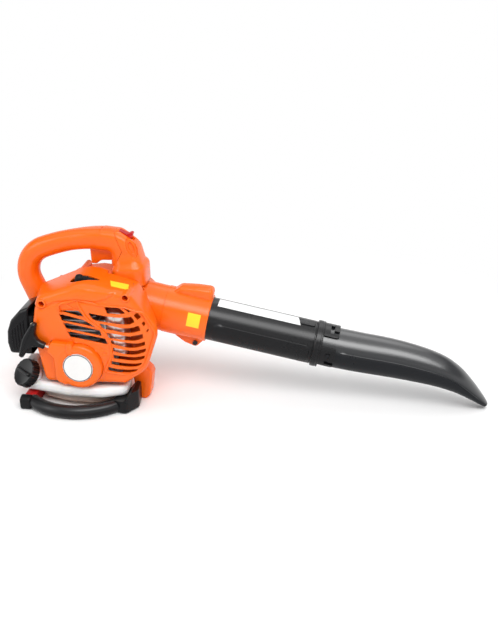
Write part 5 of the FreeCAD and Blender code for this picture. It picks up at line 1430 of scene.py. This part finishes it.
def build_floor(colour):
    """Wide pale floor that turns into the white background away from the object."""
    mesh = bpy.data.meshes.new("floor")
    corners = [(FLOOR_HALF * x, FLOOR_HALF * y, 0) for x, y in ((-1, -1), (1, -1), (1, 1), (-1, 1))]
    mesh.from_pydata(corners, [], [(0, 1, 2, 3)])
    body = bpy.data.objects.new("floor", mesh)
    bpy.context.scene.collection.objects.link(body)
    material = surface("floor_paper", colour, 0.9, 0.01, (60.0, 0.0, 0.02), edge=0.0, gloss=0.1)
    tree = material.node_tree
    away = tree.nodes.new("ShaderNodeVectorMath")
    away.operation = "LENGTH"
    tree.links.new(coordinates(tree), away.inputs[0])
    fade = mapped(tree, away.outputs["Value"], FLOOR_FADE, way="SMOOTHSTEP")
    mix = tree.nodes.new("ShaderNodeMixShader")
    tree.links.new(maths(tree, "MULTIPLY", seen_rays(tree), fade), mix.inputs["Fac"])
    tree.links.new(tree.nodes["Principled BSDF"].outputs[0], mix.inputs[1])
    tree.links.new(tree.nodes.new("ShaderNodeEmission").outputs[0], mix.inputs[2])
    tree.links.new(mix.outputs[0], tree.nodes["Material Output"].inputs["Surface"])
    mesh.materials.append(material)


# Add-on


class BlowerLook(bpy.types.PropertyGroup):
    """Sizes and colours of the blower."""

    ledge: FloatProperty(name="Ledge", description="How far the side panels of pipe and nozzle stand out",
                         default=0.0013, min=0.0002, max=0.002, unit="LENGTH")
    orange: FloatVectorProperty(name="Orange", description="Colour of the housings", subtype="COLOR",
                                default=(0.90, 0.135, 0.003), min=0.0, max=1.0)
    black: FloatVectorProperty(name="Black", description="Colour of the pipe and the filter cover",
                               subtype="COLOR", default=(0.006, 0.006, 0.007), min=0.0, max=1.0)
    nozzle: FloatVectorProperty(name="Nozzle", description="Colour of the nozzle", subtype="COLOR",
                                default=(0.006, 0.007, 0.009), min=0.0, max=1.0)
    tank: FloatVectorProperty(name="Tank", description="Colour of the fuel tank", subtype="COLOR",
                              default=(0.84, 0.84, 0.84), min=0.0, max=1.0)
    stain: FloatVectorProperty(name="Stain", description="Colour of the tank's lower part", subtype="COLOR",
                               default=(0.36, 0.20, 0.13), min=0.0, max=1.0)
    red: FloatVectorProperty(name="Red", description="Colour of the stop switch and the rear lug",
                             subtype="COLOR", default=(0.48, 0.012, 0.012), min=0.0, max=1.0)
    floor: FloatVectorProperty(name="Floor", description="Colour of the floor", subtype="COLOR",
                               default=(0.97, 0.97, 0.97), min=0.0, max=1.0)


class BLOWER_OT_finishes(bpy.types.Operator):
    """Make all materials and dress the engineering model in them"""
    bl_idname = "blower.finishes"
    bl_label = "Finishes"

    def execute(self, context):
        make_materials(context.scene.blower_look)
        dress_nodes()
        return {"FINISHED"}


class BLOWER_OT_nozzle(bpy.types.Operator):
    """Make the nozzle"""
    bl_idname = "blower.nozzle"
    bl_label = "Nozzle"

    def execute(self, context):
        build_nozzle(context.scene.blower_look.ledge * 1000)
        return {"FINISHED"}


class BLOWER_OT_pipe(bpy.types.Operator):
    """Make the pipe and the sleeve that holds it"""
    bl_idname = "blower.pipe"
    bl_label = "Pipe and sleeve"

    def execute(self, context):
        build_pipe(context.scene.blower_look.ledge * 1000)
        build_sleeve()
        return {"FINISHED"}


class BLOWER_OT_handle(bpy.types.Operator):
    """Make the grip, the tower and the trigger"""
    bl_idname = "blower.handle"
    bl_label = "Handle"

    def execute(self, context):
        build_handle()
        build_trigger()
        return {"FINISHED"}


class BLOWER_OT_cover(bpy.types.Operator):
    """Make the engine cover with its grille, and the plug boot"""
    bl_idname = "blower.cover"
    bl_label = "Engine cover"

    def execute(self, context):
        build_cover()
        build_boot()
        return {"FINISHED"}


class BLOWER_OT_filter(bpy.types.Operator):
    """Make the air filter's cover"""
    bl_idname = "blower.filter"
    bl_label = "Filter cover"

    def execute(self, context):
        build_filter()
        return {"FINISHED"}


class BLOWER_OT_starter(bpy.types.Operator):
    """Make the starter case, its rope and its grip"""
    bl_idname = "blower.starter"
    bl_label = "Pull starter"

    def execute(self, context):
        build_starter()
        build_grip()
        build_rope()
        return {"FINISHED"}


class BLOWER_OT_tank(bpy.types.Operator):
    """Make the fuel tank and its cap"""
    bl_idname = "blower.tank"
    bl_label = "Tank and cap"

    def execute(self, context):
        build_tank()
        build_cap()
        return {"FINISHED"}


class BLOWER_OT_stand(bpy.types.Operator):
    """Make the stand tube, its boot, lug and clip, and the front foot"""
    bl_idname = "blower.stand"
    bl_label = "Stand"

    def execute(self, context):
        build_stand()
        build_clip()
        return {"FINISHED"}


class BLOWER_OT_labels(bpy.types.Operator):
    """Lay the blank stickers on, and the rim round the badge"""
    bl_idname = "blower.labels"
    bl_label = "Blank stickers"

    def execute(self, context):
        build_labels()
        return {"FINISHED"}


class BLOWER_OT_stage(bpy.types.Operator):
    """Make the floor, the light and the camera"""
    bl_idname = "blower.stage"
    bl_label = "Stage"

    def execute(self, context):
        build_camera()
        build_world()
        build_floor(context.scene.blower_look.floor)
        build_lamps()
        return {"FINISHED"}


class BLOWER_PT_panel(bpy.types.Panel):
    """Sidebar panel with the look and the pieces"""
    bl_idname = "BLOWER_PT_panel"
    bl_label = "Leaf blower"
    bl_space_type = "VIEW_3D"
    bl_region_type = "UI"
    bl_category = "Blower"

    def draw(self, context):
        look = context.scene.blower_look
        for name in ("ledge", "orange", "black", "nozzle", "tank", "stain", "red", "floor"):
            self.layout.prop(look, name)
        for maker in MAKERS:
            self.layout.operator(maker.bl_idname)


MAKERS = (BLOWER_OT_finishes, BLOWER_OT_nozzle, BLOWER_OT_pipe, BLOWER_OT_handle, BLOWER_OT_cover,
          BLOWER_OT_filter, BLOWER_OT_starter, BLOWER_OT_tank, BLOWER_OT_stand, BLOWER_OT_labels,
          BLOWER_OT_stage)
CLASSES = (BlowerLook, *MAKERS, BLOWER_PT_panel)


def register():
    """Adds the look, the operators and the panel."""
    for one in CLASSES:
        bpy.utils.register_class(one)
    bpy.types.Scene.blower_look = PointerProperty(type=BlowerLook)


def unregister():
    """Takes them out again."""
    del bpy.types.Scene.blower_look
    for one in reversed(CLASSES):
        bpy.utils.unregister_class(one)


def main():
    """Builds everything."""
    register()
    bpy.context.scene.view_settings.view_transform = "Standard"
    for maker in MAKERS:
        getattr(bpy.ops.blower, maker.bl_idname.split(".")[1])()


if __name__ == "__main__":
    main()
